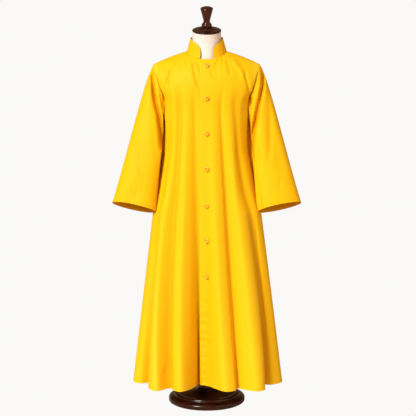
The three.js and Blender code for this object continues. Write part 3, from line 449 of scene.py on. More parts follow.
@dataclass
class BodyCloth:
    """The surface of both fronts and the back: rows from the hem up, columns once round.

    A column's place is a number along the fold lines, where a whole number is a fold line. Above
    the chest line each column carries on up a curve to the neckline or the shoulder seam.
    """

    cut: CassockCut = field(default_factory=CassockCut)
    columns_per_fold: int = 10
    row_step: float = 7
    yoke_rows: int = 52
    last_row: float = 0.991
    hem: StitchLine = StitchLine()
    chest_smoothing: int = 40
    chest_reach: int = 10
    hollow_smoothing: int = 60
    corner_slack: float = 0.6
    fold_top: float = 0.42
    armhole_draw: tuple[float, float] = (7, 5)
    armhole_draw_at: tuple[float, float] = (1262, 34)
    armhole_draw_out: Ramp = Ramp(125, 50)
    waist_draw_out: Ramp = Ramp(95, 70)
    waist_draw_fore: Ramp = Ramp(5, 13)
    waist_draw: tuple[tuple[float, float, float], ...] = (
        (802, 0, 0),
        (884, 11, 12),
        (967, 14, 17),
        (1048, 16, 21),
        (1130, 13, 19),
        (1170, 12, 17),
        (1205, 7, 15),
        (1240, 3, 8),
        (1275, 0, 0),
    )
    # Share of each crease's depth added to the fold depth that sets the cloth's painted shade.
    painted_shade_share: float = 0.6
    groove: float = 0.9
    groove_width: float = 2.4
    armhole_groove: float = 5.0
    armhole_width: float = 4.2
    shoulder_share: float = 0.25
    below_shoulder: Ramp = Ramp(12, 50)
    pocket_top: float = 1276
    pocket_run: float = 45
    pocket_depth: float = 3
    pocket_widen: float = 2
    neck: Array = field(init=False)
    shoulder: Array = field(init=False)
    armhole_middle: Array = field(init=False)
    armhole_half: Array = field(init=False)
    corner_off: float = field(init=False)
    table: dict[str, Array] = field(init=False)
    heights: Array = field(init=False)
    chest_row: int = field(init=False)
    places: Array = field(init=False)
    at: Array = field(init=False)
    out: Array = field(init=False)
    is_side: Array = field(init=False)
    points: Array = field(init=False)
    normals: Array = field(init=False)
    present: Array = field(init=False)
    hollow: Array = field(init=False)

    def __post_init__(self) -> None:
        """Works out the whole surface."""
        cut = self.cut
        self.neck, self.shoulder = np.array(cut.neck, float), np.array(cut.shoulder, float)
        underarm = np.array(cut.underarm, float)
        self.armhole_middle = (self.shoulder + underarm) / 2
        self.armhole_half = self.shoulder - self.armhole_middle
        corner = self.armhole_point(cut.armhole_corner, 1.0)
        self.corner_off = math.degrees(math.atan2(corner[0], abs(corner[1])))
        self.table = {
            name: np.array([getattr(line, name) for line in FOLD_LINES], float)
            for name in ("chest_at", "chest", "hip_at", "hip", "hem_at", "hem")
        }
        self.places = self.column_places()
        self.heights = self.row_heights()
        self.chest_row = len(self.heights) - 1
        self.lay_out()
        self.soften_chest_line()
        self.find_normals()
        self.press()

    def column_places(self) -> Array:
        """Places of the columns, closer together beside the seams and the buttoned edge."""
        near_edge, near_seam, near_corner = (0.03, 0.07, 0.2, 0.35), (0.05, 0.13, 0.24), 0.08
        least_gap = 0.012
        seams = (LINE_PLACE["right_seam"], LINE_PLACE["left_seam"])
        corners = [LINE_PLACE[name] for name in CORNER_LINES]
        extra = [LINE_PLACE["front_edge"] + s for s in near_edge]
        extra += [seam + sign * s for seam in seams for s in near_seam for sign in (-1, 1)]
        extra += [place + sign * near_corner for place in corners for sign in (-1, 1)]
        count = len(FOLD_LINES)
        plain = np.arange(0, count, 1 / self.columns_per_fold)
        every = np.concatenate([plain, np.mod(extra, count)])
        every = np.unique(np.round(every, 5))
        close = np.diff(every, prepend=-1.0) < least_gap
        return every[~close | (every == np.round(every))]

    def row_heights(self) -> Array:
        """Heights of the skirt's rows, closer together at the hem's stitch line."""
        cut = self.cut
        low = cut.hem + self.hem.rows()
        count = round((cut.chest - low[-1]) / self.row_step)
        return np.concatenate([low, np.linspace(low[-1], cut.chest, count + 1)[1:]])

    # -- Girth, armhole and neckline --
    def plain_radius(self, at: Array, z: float) -> Array:
        """Radius of the plain girth at angles from the front and a height."""
        rows = self.cut.girth
        heights = [row.z for row in rows]

        def column(name: str) -> float:
            """One column of the girth's table at this height."""
            return float(np.interp(z, heights, [getattr(row, name) for row in rows]))

        depth = np.where(np.cos(np.radians(at)) > 0, column("front"), column("back"))
        square = column("square")
        across = np.abs(np.sin(np.radians(at)) / column("half_width")) ** square
        along = np.abs(np.cos(np.radians(at)) / depth) ** square
        return (across + along) ** (-1 / square)

    def armhole_point(self, at: Array | float, fore: Array | float) -> Array:
        """Points of the left armhole, 0 degrees at the shoulder and 180 at the underarm."""
        turn = np.radians(at)[..., None] if np.ndim(at) else math.radians(at)
        depth = -np.asarray(fore, float)[..., None] * self.cut.armhole_half_depth * np.sin(turn)
        return self.armhole_middle + self.armhole_half * np.cos(turn) + depth * np.array([0, 1, 0])

    def standing(self, at: Array) -> tuple[Array, Array, Array]:
        """Side, face and angle away from the front or the back of chest angles."""
        turn = np.mod(at + 540, 360) - 180
        fore = np.where(np.abs(turn) < 90, 1.0, -1.0)
        off = np.where(fore > 0, np.abs(turn), 180 - np.abs(turn))
        return np.where(turn < 0, -1.0, 1.0), fore, off

    def on_armhole(self, at: Array) -> Array:
        """Whether a column meets an armhole, at its lower corners or past them."""
        return self.standing(at)[2] > self.corner_off - self.corner_slack

    def at_side(self, at: Array) -> Array:
        """Whether a column lies under an armhole, past its lower corners."""
        return self.standing(at)[2] > self.corner_off + self.corner_slack

    def chest_points(self, at: Array, out: Array) -> Array:
        """Points of the chest line under the yoke, which meets both armholes at their corners."""
        cut = self.cut
        side, fore, off = self.standing(at)
        share = np.clip((off - self.corner_off) / (90 - self.corner_off), 0, 1)
        under_arm = self.armhole_point(lerp(cut.armhole_corner, 180, share), fore)
        under_arm = under_arm * on_side(side)
        corner = self.armhole_point(cut.armhole_corner, 1.0)
        flat = self.plain_radius(np.where(fore > 0, off, 180 - off), cut.chest)
        spread = math.hypot(corner[0], corner[1]) / flat
        near = off / self.corner_off
        r = self.plain_radius(at, cut.chest) * lerp(1, spread, near**cut.corner_draw) + out
        plain = polar(at, r, lerp(cut.chest, corner[2], near**2))
        return np.where(self.on_armhole(at)[:, None], under_arm, plain)

    def through_heights(self, z: float, kind: str) -> Array:
        """Fold lines' angles or reaches at a height, on a curve through hem, hip and chest."""
        hem, hip, chest = self.cut.hem, self.cut.hip, self.cut.chest
        suffix = "_at" if kind == "at" else ""
        at_hem = (z - hip) * (z - chest) / ((hem - hip) * (hem - chest))
        at_hip = (z - hem) * (z - chest) / ((hip - hem) * (hip - chest))
        at_chest = (z - hem) * (z - hip) / ((chest - hem) * (chest - hip))
        table = self.table
        low = table["hem" + suffix] * at_hem + table["hip" + suffix] * at_hip
        return low + table["chest" + suffix] * at_chest

    def skirt_ring(self, z: float) -> Array:
        """All columns of the skirt at one height."""
        cut, table = self.cut, self.table
        at = self.through_heights(z, "at")
        plain = polar(at, self.plain_radius(at, z) + self.through_heights(z, "out"), z)
        chest_r = self.plain_radius(table["chest_at"], cut.chest) + table["chest"]
        fit = self.chest_points(table["chest_at"], table["chest"])
        fit = fit - polar(table["chest_at"], chest_r, cut.chest)
        rise = float(ease((z - cut.chest + cut.fit_rise) / cut.fit_rise))
        return smooth_through(plain + fit * rise, self.places)

    def neckline(self, turn: Array, fore: Array) -> Array:
        """Points of the left half of the neckline, 0 degrees at a centre and 90 beside the neck."""
        front, back = np.array(self.cut.neck_front, float), np.array(self.cut.neck_back, float)
        s, c = np.sin(np.radians(turn)), np.cos(np.radians(turn))
        y = lerp(self.neck[1], np.where(fore > 0, front[1], back[1]), c)
        z = np.where(fore > 0, lerp(self.neck[2], front[2], c), lerp(self.neck[2], back[2], c * c))
        return np.stack([self.neck[0] * s, y, z], axis=-1)

    def shoulder_seam(self, share: Array) -> Array:
        """Points of the left shoulder seam, 0 at the neck and 1 at the armhole."""
        share = np.asarray(share, float)[..., None]
        arch = self.cut.shoulder_arch * 4 * share * (1 - share) * np.array([0, 0, 1])
        return lerp(self.neck, self.shoulder, share) + arch

    def yoke(self, at: Array, out: Array, rows: Array) -> Array:
        """Rows of the yoke from the chest line to the neckline and the shoulder seams.

        Args:
            at: chest angle of each column.
            out: how far each column stands out at the chest.
            rows: share of the way up of each row.

        Returns:
            Points of shape (rows, columns, 3).
        """
        cut = self.cut
        side, fore, off = self.standing(at)
        flip = on_side(side)
        chest = self.chest_points(at, out) * flip
        zero = np.zeros_like(off)
        upright = np.stack([zero, -fore * cut.chest_rise[0], zero + cut.chest_rise[1]], axis=1)
        turn = math.radians(cut.armhole_corner)
        handle = 4 / 3 * math.tan(turn / 4)
        armhole_round = fore * cut.armhole_half_depth * math.cos(turn) * handle
        armhole_up = np.stack([zero, armhole_round, zero], axis=1)
        armhole_up = armhole_up + self.armhole_half * handle * math.sin(turn)
        rise = lerp(upright, armhole_up, np.clip(off / self.corner_off, 0, 1)[:, None] ** cut.corner_turn)
        neck_turn = 90 * np.clip(off / cut.neck_corner, 0, 1) ** cut.neck_crowd
        along = np.clip((off - cut.neck_corner) / (self.corner_off - cut.neck_corner), 0, 1)
        neck_top = self.neckline(neck_turn, fore)
        c2 = np.cos(np.radians(neck_turn)) ** 2
        side_end, centre_end, fall_seam = (np.zeros((len(at), 3)) for _ in range(3))
        side_out = np.zeros(len(at))
        for face, reach, centre in (
            (Face.FRONT, cut.front_reach, cut.neck_front),
            (Face.BACK, cut.back_reach, cut.neck_back),
        ):
            here = fore == face.value
            beside = np.array([0, -face.value * reach.side, -reach.side_drop], float)
            under = np.array([0, -face.value * reach.centre, -reach.centre_drop], float)
            side_end[here] = self.neck + beside
            centre_end[here] = np.array(centre, float) + under
            at_armhole = np.array([0, -face.value * cut.armhole_half_depth * handle, 0])
            seam = beside + np.array([reach.side_out, 0, 0])
            fall_seam[here] = lerp(seam, at_armhole, along[here][:, None])
            side_out[here] = reach.side_out
        under_neck = lerp(side_end, centre_end, c2[:, None])
        under_neck[:, 0] = neck_top[:, 0] + side_out * (1 - c2)
        on_seam = (along > 0)[:, None]
        top = np.where(on_seam, self.shoulder_seam(along), neck_top)
        fall = np.where(on_seam, top + fall_seam, under_neck)
        t = rows[:, None, None]
        return bezier([chest, chest + rise, fall, top], t) * flip

    # -- The grid --
    def lay_out(self) -> None:
        """Lays the points of all rows and columns."""
        count = len(FOLD_LINES)
        nodes = np.arange(count + 1)
        chest_at, chest = self.table["chest_at"], self.table["chest"]
        self.at = np.interp(self.places, nodes, np.append(chest_at, chest_at[0] + 360))
        self.out = np.interp(self.places, nodes, np.append(chest, chest[0]))
        self.is_side = self.at_side(self.at)
        skirt = np.stack([self.skirt_ring(z) for z in self.heights])
        fit = self.chest_points(self.at, self.out) - skirt[-1]
        fit[~self.on_armhole(self.at)] = 0
        rise = ease((self.heights - self.cut.chest + self.cut.fit_rise) / self.cut.fit_rise)
        skirt = skirt + fit[None] * rise[:, None, None]
        rows = np.append(np.linspace(0, 1, self.yoke_rows + 1)[1:], self.last_row)
        rows.sort()
        plain = np.zeros_like(self.out)
        yoke = self.yoke(self.at, plain, rows)
        start = skirt[-1] - self.chest_points(self.at, plain)
        yoke = yoke + start[None] * (1 - ease(rows / self.fold_top))[:, None, None]
        yoke[:, self.is_side] = skirt[-1][self.is_side]
        self.points = self.drawn_in(np.concatenate([skirt, yoke]))
        rows_total = len(self.points)
        side_cell = self.is_side | np.roll(self.is_side, -1)
        self.present = np.ones((rows_total - 1, len(self.places)), bool)
        self.present[self.chest_row :, side_cell] = False

    def drawn_in(self, points: Array) -> Array:
        """Draws both armholes in above the underarm, and the sides in behind the sleeves."""
        middle, reach = self.armhole_draw_at
        right, left = self.armhole_draw
        x, z = points[..., 0], points[..., 2]
        amount = np.where(x > 0, left, right) * np.exp(-(((z - middle) / reach) ** 2))
        moved = points.copy()
        moved[..., 0] -= np.sign(x) * amount * self.armhole_draw_out.at(np.abs(x))
        heights, right_waist, left_waist = np.array(self.waist_draw, float).T
        waist = np.where(x > 0, np.interp(z, heights, left_waist), np.interp(z, heights, right_waist))
        fore = self.waist_draw_fore.at(-points[..., 1])
        moved[..., 0] -= np.sign(x) * waist * self.waist_draw_out.at(np.abs(x)) * fore
        return moved

    def soften_chest_line(self) -> None:
        """Rounds the bend where the yoke meets the skirt."""
        reach = self.chest_reach
        rows = np.arange(self.chest_row - reach, self.chest_row + reach + 1)
        weight = np.exp(-(((rows - self.chest_row) / (reach / 2)) ** 2))[:, None, None]
        inner = ~self.on_armhole(self.at)
        for _ in range(self.chest_smoothing):
            p = self.points
            mean = (p[rows - 1] + 2 * p[rows] + p[rows + 1]) / 4
            moved = lerp(p[rows], mean, weight)
            p[rows[:, None], np.nonzero(inner)[0][None]] = moved[:, inner]

    def find_normals(self) -> None:
        """Finds the outward normals, with both fronts and the back sharing those of their seams."""
        p = self.points
        right = np.roll(p, -1, axis=1)
        cell = np.cross(right[1:] - p[:-1], p[1:] - right[:-1])
        cell[~self.present] = 0
        total = np.zeros_like(p)
        total[:-1] += cell + np.roll(cell, 1, axis=1)
        total[1:] += cell + np.roll(cell, 1, axis=1)
        self.normals = unit(total)
        side, _, off = self.standing(self.at)
        on_seam = (off >= self.cut.neck_corner) & ~self.is_side
        share = np.clip((off - self.cut.neck_corner) / (self.corner_off - self.cut.neck_corner), 0, 1)
        step = 0.01
        slope = self.shoulder_seam(share + step) - self.shoulder_seam(share - step)
        across = unit(np.stack([-slope[:, 2] * side, np.zeros_like(off), slope[:, 0]], axis=1))
        self.normals[-1, on_seam] = across[on_seam]

    def is_front(self) -> Array:
        """Whether each column belongs to the fronts."""
        return self.places <= LINE_PLACE["left_seam"]

    def press(self) -> None:
        """Presses the creases, the seams and the hem's stitch line into the surface."""
        x, z = self.points[..., 0], self.points[..., 2]
        dip = np.zeros(x.shape)
        front = self.is_front()
        puckers = [pucker.crease() for pucker in PLACKET_PUCKERS]
        for creases, columns in (((*FRONT_CREASES, *puckers), front), (BACK_CREASES, ~front)):
            for crease in creases:
                dip[:, columns] += crease.dip(x[:, columns], z[:, columns])
        # Fold depth, deepened by a share of each crease, sets the painted shade in troughs and painted
        # highlight on ridges.
        self.hollow = self.hollows() + self.painted_shade_share * dip
        straight = np.where(front, 1.0, -1.0)[None, :, None] * np.array([0, 1, 0])
        self.points = self.points + straight * dip[..., None]
        self.points = self.points - self.normals * self.seam_dip()[..., None]

    def seam_dip(self) -> Array:
        """Depth of the grooves along the side seams, the shoulder seams and the armholes."""
        groove, half_width, far = self.groove, self.groove_width, 99
        seam_reach, corner_reach = 1, 1.5
        count = len(FOLD_LINES)
        dip = np.zeros(self.points.shape[:2])
        above_hem = self.points[: self.chest_row + 1, :, 2] - self.cut.hem
        dip[: self.chest_row + 1] += self.hem.depth(above_hem)
        for name in ("right_seam", "left_seam"):
            column = self.column(name)
            off = np.linalg.norm(self.points - self.points[:, column : column + 1], axis=2)
            off[self.chest_row + 1 :] = far
            beside = np.abs(np.mod(self.places - LINE_PLACE[name] + count / 2, count) - count / 2)
            near = beside < seam_reach
            dip[:, near] += groove * np.exp(-((off[:, near] / half_width) ** 2))
        _, _, off = self.standing(self.at)
        shoulder = off >= self.cut.neck_corner
        below = np.linalg.norm(self.points - self.points[-1:], axis=2)
        dip[:, shoulder] += groove * np.exp(-((below[:, shoulder] / half_width) ** 2))
        for name in CORNER_LINES:
            edge = self.points[self.chest_row :, self.column(name)]
            near = np.abs(self.places - LINE_PLACE[name]) < corner_reach
            rows = slice(self.chest_row, None)
            gap = np.linalg.norm(self.points[rows, near] - edge[:, None], axis=2)
            low = self.below_shoulder.at(self.shoulder[2] - edge[:, 2])[:, None]
            pocket = self.pocket(edge[:, 2])[:, None]
            depth = self.armhole_groove * lerp(self.shoulder_share, 1.0, low) + self.pocket_depth * pocket
            width = self.armhole_width + self.pocket_widen * pocket
            dip[rows, near] += depth * np.exp(-((gap / width) ** 2))
        dip[self.chest_row :, self.is_side] = 0
        return dip

    def hollows(self) -> Array:
        """How deep each point lies behind the smoothed cloth around it, in millimetres."""
        smooth = smoothed_round(self.points, self.hollow_smoothing)
        return np.sum((smooth - self.points) * self.normals, axis=2)

    def pocket(self, z: Array) -> Array:
        """Share of the deeper fold low on the armholes, at each height."""
        return ease((self.pocket_top - z) / self.pocket_run)

    def column(self, name: str) -> int:
        """Index of the column on a named fold line."""
        return int(np.argmin(np.abs(self.places - LINE_PLACE[name])))


# ---- Meshes ----
@dataclass
class ClothGrid:
    """A stretch of cloth as a grid of points, which becomes a closed wall.

    Attributes:
        points: outer points, of shape (rows, columns, 3), in millimetres.
        normals: outward normals.
        present: whether each cell has cloth.
        closed: whether the last column joins the first.
        hollow: how deep each point lies in a fold, which sets the painted shade in troughs and painted
            highlight on ridges.
        wall: thickness of the cloth.
        inside: fold depth that the inner face counts as, which gives the inner face painted shade.
    """

    points: Array
    normals: Array
    present: Array
    closed: bool
    hollow: Array
    wall: float = 1.2
    inside: float = 14.0

    def area(self) -> float:
        """Area of the outer face in square metres."""
        p = self.points
        right = np.roll(p, -1, axis=1)
        cell = np.cross(right[1:] - p[:-1], p[1:] - right[:-1])
        spans = p.shape[1] if self.closed else p.shape[1] - 1
        sizes = np.linalg.norm(cell, axis=2)[:, :spans] / 2
        return float(sizes[self.present[:, :spans]].sum()) * MM * MM

    def faces(self) -> tuple[list[tuple[int, ...]], int]:
        """Faces of the closed wall, and the number of points of one grid."""
        rows, columns = self.points.shape[:2]
        count = rows * columns
        spans = columns if self.closed else columns - 1

        def spot(r: int, c: int) -> int:
            """Index of a grid point."""
            return r * columns + c % columns

        def there(r: int, c: int) -> bool:
            """Whether the cell has cloth."""
            if not 0 <= r < rows - 1:
                return False
            if not self.closed and not 0 <= c < spans:
                return False
            return bool(self.present[r, c % columns])

        made: list[tuple[int, ...]] = []
        for r in range(rows - 1):
            for c in range(spans):
                if not there(r, c):
                    continue
                ring = (spot(r, c), spot(r, c + 1), spot(r + 1, c + 1), spot(r + 1, c))
                made.append(ring)
                made.append(tuple(i + count for i in reversed(ring)))
                a, b, d, e = ring
                for there_too, p, q in (
                    (there(r - 1, c), a, b),
                    (there(r, c + 1), b, d),
                    (there(r + 1, c), d, e),
                    (there(r, c - 1), e, a),
                ):
                    if not there_too:
                        made.append((q, p, p + count, q + count))
        return made, count

    def arc_lengths(self) -> tuple[Array, Array]:
        """Distance along the rows and the columns of each point, in metres, for the weave."""
        across, up = run_lengths(self.points, 1) * MM, run_lengths(self.points, 0) * MM
        return np.meshgrid(across, up)

    def piece(self, name: str) -> bpy.types.Object:
        """Makes the wall's object, with its weave map and its fold depth, which drives the painted fold
        shade.

        Args:
            name: the piece's name.

        Returns:
            The object, at the origin.
        """
        faces, count = self.faces()
        inner = self.points - self.normals * self.wall
        both = np.concatenate([self.points.reshape(-1, 3), inner.reshape(-1, 3)]) * MM
        u, v = self.arc_lengths()
        flat = np.stack([np.tile(u.ravel(), 2), np.tile(v.ravel(), 2)], axis=1)
        # The inner face takes a fixed fold depth, so painted shade darkens the inside of the cloth.
        hollow = np.concatenate([self.hollow.ravel(), np.full(self.hollow.size, self.inside)])
        used = np.unique(np.concatenate([np.array(f) for f in faces]))
        place = np.full(2 * count, -1)
        place[used] = np.arange(len(used))
        mesh = bpy.data.meshes.new(name)
        mesh.from_pydata(both[used].tolist(), [], [[int(place[i]) for i in f] for f in faces])
        layer = mesh.uv_layers.new(name="weave")
        corner = np.zeros(len(mesh.loops), int)
        mesh.loops.foreach_get("vertex_index", corner)
        layer.data.foreach_set("uv", flat[used][corner].astype(np.float32).ravel())
        depth = mesh.attributes.new("hollow", "FLOAT", "POINT")
        depth.data.foreach_set("value", hollow[used].astype(np.float32))
        return finished(mesh, name, sharp_from=55)


def linked(mesh: bpy.types.Mesh, name: str) -> bpy.types.Object:
    """Links a mesh to the scene as an object at the origin."""
    made = bpy.data.objects.new(name, mesh)
    bpy.context.scene.collection.objects.link(made)
    return made


def finished(mesh: bpy.types.Mesh, name: str, sharp_from: float) -> bpy.types.Object:
    """Links a mesh as a smooth object whose edges past an angle stay sharp.

    Args:
        mesh: the mesh, in metres in the frame.
        name: the piece's name.
        sharp_from: angle in degrees from which an edge stays sharp.

    Returns:
        The object.
    """
    mesh.validate()
    mesh.polygons.foreach_set("use_smooth", [True] * len(mesh.polygons))
    mesh.set_sharp_from_angle(angle=math.radians(sharp_from))
    mesh.update()
    return linked(mesh, name)


def turned_mesh(profile: Sequence[tuple[float, float]], segments: int, place: Matrix) -> bpy.types.Mesh:
    """Closed mesh turned from a profile of radii and heights, starting and ending on the axis.

    Args:
        profile: (radius, height) pairs in millimetres, from the bottom up, without the axis points.
        segments: number of sides.
        place: where the turned piece stands, in millimetres.

    Returns:
        The mesh, in metres.
    """
    bm = bmesh.new()
    rings = []
    for r, h in profile:
        ring = [bm.verts.new(place @ Vector(polar(360 * i / segments, r, h))) for i in range(segments)]
        rings.append(ring)
    for low, high in zip(rings, rings[1:]):
        for i in range(segments):
            j = (i + 1) % segments
            bm.faces.new((low[i], low[j], high[j], high[i]))
    for ring, h, flip in ((rings[0], profile[0][1], True), (rings[-1], profile[-1][1], False)):
        middle = bm.verts.new(place @ Vector((0, 0, h)))
        for i in range(segments):
            a, b = ring[i], ring[(i + 1) % segments]
            bm.faces.new((b, a, middle) if flip else (a, b, middle))
    bmesh.ops.scale(bm, vec=(MM, MM, MM), verts=bm.verts)
    bmesh.ops.recalc_face_normals(bm, faces=bm.faces)
    mesh = bpy.data.meshes.new("turned")
    bm.to_mesh(mesh)
    bm.free()
    return mesh


def rounded(corners: Sequence[tuple[float, float, float]], steps: int = 5) -> list[tuple[float, float]]:
    """Profile with its corners rounded.

    Args:
        corners: (radius, height, rounding) triples.
        steps: points on each rounding.

    Returns:
        (radius, height) pairs.
    """
    made: list[tuple[float, float]] = []
    for i, (r, h, rounding) in enumerate(corners):
        if rounding <= 0 or i in (0, len(corners) - 1):
            made.append((r, h))
            continue
        here = np.array([r, h])
        before = np.array(corners[i - 1][:2]) - here
        after = np.array(corners[i + 1][:2]) - here
        longest = 0.49 * min(np.linalg.norm(before), np.linalg.norm(after))
        cut = min(rounding, longest)
        a, b = here + unit(before) * cut, here + unit(after) * cut
        for t in np.linspace(0, 1, steps):
            made.append(tuple(lerp(lerp(a, here, t), lerp(here, b, t), t)))
    return made


# ---- Shaders ----
@dataclass
class NodeBench:
    """Adds and joins the nodes of one tree."""

    tree: bpy.types.NodeTree

    def add(self, kind: str, values: dict | None = None, **facts: object) -> bpy.types.Node:
        """Adds a node.

        Args:
            kind: the node's type name.
            values: input socket values, by name or index.
            facts: settings of the node itself.

        Returns:
            The node.
        """
        node = self.tree.nodes.new(kind)
        for name, value in facts.items():
            setattr(node, name, value)
        for key, value in (values or {}).items():
            node.inputs[key].default_value = value
        return node

    def join(self, start: bpy.types.NodeSocket, end: bpy.types.NodeSocket) -> None:
        """Links an output to an input."""
        self.tree.links.new(start, end)

    def feed(self, value: object, end: bpy.types.NodeSocket) -> None:
        """Links an output to an input, or gives the input a plain value."""
        if isinstance(value, bpy.types.NodeSocket):
            self.join(value, end)
        else:
            end.default_value = value

    def maths(
        self, operation: str, first: object, second: object = 0.0, **facts: object
    ) -> bpy.types.NodeSocket:
        """Adds a Math node on two outputs or numbers, and returns its result."""
        node = self.add("ShaderNodeMath", operation=operation, **facts)
        self.feed(first, node.inputs[0])
        self.feed(second, node.inputs[1])
        return node.outputs[0]

    def mix(self, share: object, first: object, second: object) -> bpy.types.NodeSocket:
        """Adds a blend from a first colour to a second, and returns its result."""
        node = self.add("ShaderNodeMix", data_type="RGBA")
        for name, value in (("Factor", share), ("A", first), ("B", second)):
            self.feed(value, node.inputs[name])
        return node.outputs["Result"]


class Effect(Enum):
    """Effects that more than one material uses, each a node group."""

    WEAVE = "Plain weave"
    # Painted shade in the cloth's folds and painted highlight on its ridges, by fold depth.
    FOLD_TINT = "Fold tint"
    TURNED_GRAIN = "Turned grain"


@dataclass
class EffectShelf:
    """Builds each shared effect once."""

    made: dict[Effect, bpy.types.NodeTree] = field(default_factory=dict)

    def get(self, effect: Effect) -> bpy.types.NodeTree:
        """The node group of an effect."""
        if effect not in self.made:
            maker = {
                Effect.WEAVE: self.weave,
                Effect.FOLD_TINT: self.fold_tint,
                Effect.TURNED_GRAIN: self.turned_grain,
            }[effect]
            self.made[effect] = maker()
        return self.made[effect]

    def blank(
        self, effect: Effect, inputs: dict[str, tuple[str, object]], outputs: dict[str, str]
    ) -> NodeBench:
        """An empty group with named sockets.

        Args:
            effect: which effect it is.
            inputs: socket types and default values by name.
            outputs: socket types by name.

        Returns:
            The bench of the new group.
        """
        tree = bpy.data.node_groups.new(effect.value, "ShaderNodeTree")
        for name, (kind, value) in inputs.items():
            socket = tree.interface.new_socket(name, in_out="INPUT", socket_type=kind)
            socket.default_value = value
        for name, kind in outputs.items():
            tree.interface.new_socket(name, in_out="OUTPUT", socket_type=kind)
        return NodeBench(tree)

    def weave(self) -> bpy.types.NodeTree:
        """Height and shade of a plain weave on the cloth's own map."""
        bench = self.blank(
            Effect.WEAVE,
            {"Threads per metre": ("NodeSocketFloat", 2600.0), "Slub": ("NodeSocketFloat", 0.5)},
            {"Height": "NodeSocketFloat", "Shade": "NodeSocketFloat"},
        )
        start = bench.add("NodeGroupInput")
        end = bench.add("NodeGroupOutput")
        weave_map = bench.add("ShaderNodeUVMap", uv_map="weave")
        scaled = bench.add("ShaderNodeVectorMath", operation="SCALE")
        bench.join(weave_map.outputs["UV"], scaled.inputs[0])
        bench.join(start.outputs["Threads per metre"], scaled.inputs["Scale"])
        parts = bench.add("ShaderNodeSeparateXYZ")
        bench.join(scaled.outputs["Vector"], parts.inputs[0])
        crossed = bench.maths("MULTIPLY", *(bench.maths("SINE", parts.outputs[axis]) for axis in ("X", "Y")))
        slub = bench.add("ShaderNodeTexNoise", {"Scale": 1.0, "Detail": 2.0}, noise_dimensions="2D")
        stretch = bench.add("ShaderNodeMapping", {"Scale": (90.0, 900.0, 1.0)})
        bench.join(weave_map.outputs["UV"], stretch.inputs["Vector"])
        bench.join(stretch.outputs["Vector"], slub.inputs["Vector"])
        uneven = bench.maths("MULTIPLY", slub.outputs["Fac"], start.outputs["Slub"])
        bench.join(bench.maths("ADD", crossed, uneven), end.inputs["Height"])
        bench.join(slub.outputs["Fac"], end.inputs["Shade"])
        return bench.tree

    def fold_tint(self) -> bpy.types.NodeTree:
        """Cloth colour with painted shade in the fold troughs and a painted highlight on the ridges, by the
        fold depth.
        """
        bench = self.blank(
            Effect.FOLD_TINT,
            {
                "Ridge": ("NodeSocketColor", (1, 1, 1, 1)),
                "Plain": ("NodeSocketColor", (1, 1, 1, 1)),
                "Trough": ("NodeSocketColor", (1, 1, 1, 1)),
                "Depth": ("NodeSocketFloat", 10.0),
            },
            {"Colour": "NodeSocketColor"},
        )
        start = bench.add("NodeGroupInput")
        end = bench.add("NodeGroupOutput")
        hollow = bench.add("ShaderNodeAttribute", attribute_name="hollow")
        share = bench.maths("DIVIDE", hollow.outputs["Fac"], start.outputs["Depth"])
        colour = start.outputs["Plain"]
        # Ridges blend towards the painted highlight colour and troughs towards the painted shade colour.
        for name, sign in (("Ridge", -1.0), ("Trough", 1.0)):
            mask = bench.maths("MULTIPLY", share, sign, use_clamp=True)
            colour = bench.mix(mask, colour, start.outputs[name])
        bench.join(colour, end.inputs["Colour"])
        return bench.tree

    def turned_grain(self) -> bpy.types.NodeTree:
        """Streaks of a turned, stained wood in Object coordinates."""
        bench = self.blank(
            Effect.TURNED_GRAIN,
            {"Stretch": ("NodeSocketVector", (1.0, 1.0, 1.0)), "Scale": ("NodeSocketFloat", 1.0)},
            {"Streak": "NodeSocketFloat", "Pore": "NodeSocketFloat"},
        )
        start = bench.add("NodeGroupInput")
        end = bench.add("NodeGroupOutput")
        where = bench.add("ShaderNodeTexCoord")
        stretch = bench.add("ShaderNodeVectorMath", operation="MULTIPLY")
        bench.join(where.outputs["Object"], stretch.inputs[0])
        bench.join(start.outputs["Stretch"], stretch.inputs[1])
        streak = bench.add("ShaderNodeTexNoise", {"Detail": 6.0, "Roughness": 0.6, "Distortion": 0.4})
        bench.join(stretch.outputs["Vector"], streak.inputs["Vector"])
        bench.join(start.outputs["Scale"], streak.inputs["Scale"])
        finer = bench.maths("MULTIPLY", start.outputs["Scale"], 7.0)
        pore = bench.add("ShaderNodeTexNoise", {"Detail": 3.0, "Roughness": 0.7})
        bench.join(stretch.outputs["Vector"], pore.inputs["Vector"])
        bench.join(finer, pore.inputs["Scale"])
        bench.join(streak.outputs["Fac"], end.inputs["Streak"])
        bench.join(pore.outputs["Fac"], end.inputs["Pore"])
        return bench.tree


Colour = tuple[float, float, float, float]


@dataclass(frozen=True)
class PoplinFinish:
    """Plain woven poplin, matt, in one bright dye, with painted shade in the fold troughs and a painted
    highlight on the ridges.
    """

    # plain is the dye itself; ridge is a painted highlight on the fold ridges and trough is painted shade in
    # the folds, reached at the fold depth given by depth.
    ridge: Colour = (0.84, 0.56, 0.02, 1)
    plain: Colour = (0.82, 0.475, 0.003, 1)
    trough: Colour = (0.64, 0.28, 0.001, 1)
    depth: float = 19.0
    roughness: float = 0.55
    gloss: float = 0.1
    weave_height: float = 0.00006

    def build(self, shelf: EffectShelf) -> bpy.types.Material:
        """Makes the material."""
        material, bench, shader = principled("Yellow poplin")
        # Painted fold shade and highlight on the base colour, by the mesh's fold depth.
        tint = bench.add("ShaderNodeGroup", node_tree=shelf.get(Effect.FOLD_TINT))
        for name, value in (("Ridge", self.ridge), ("Plain", self.plain), ("Trough", self.trough)):
            tint.inputs[name].default_value = value
        tint.inputs["Depth"].default_value = self.depth
        bench.join(tint.outputs["Colour"], shader.inputs["Base Color"])
        weave = bench.add("ShaderNodeGroup", node_tree=shelf.get(Effect.WEAVE))
        bump = bench.add("ShaderNodeBump", {"Strength": 0.35, "Distance": self.weave_height})
        bench.join(weave.outputs["Height"], bump.inputs["Height"])
        bench.join(bump.outputs["Normal"], shader.inputs["Normal"])
        shader.inputs["Roughness"].default_value = self.roughness
        shader.inputs["Specular IOR Level"].default_value = self.gloss
        return material


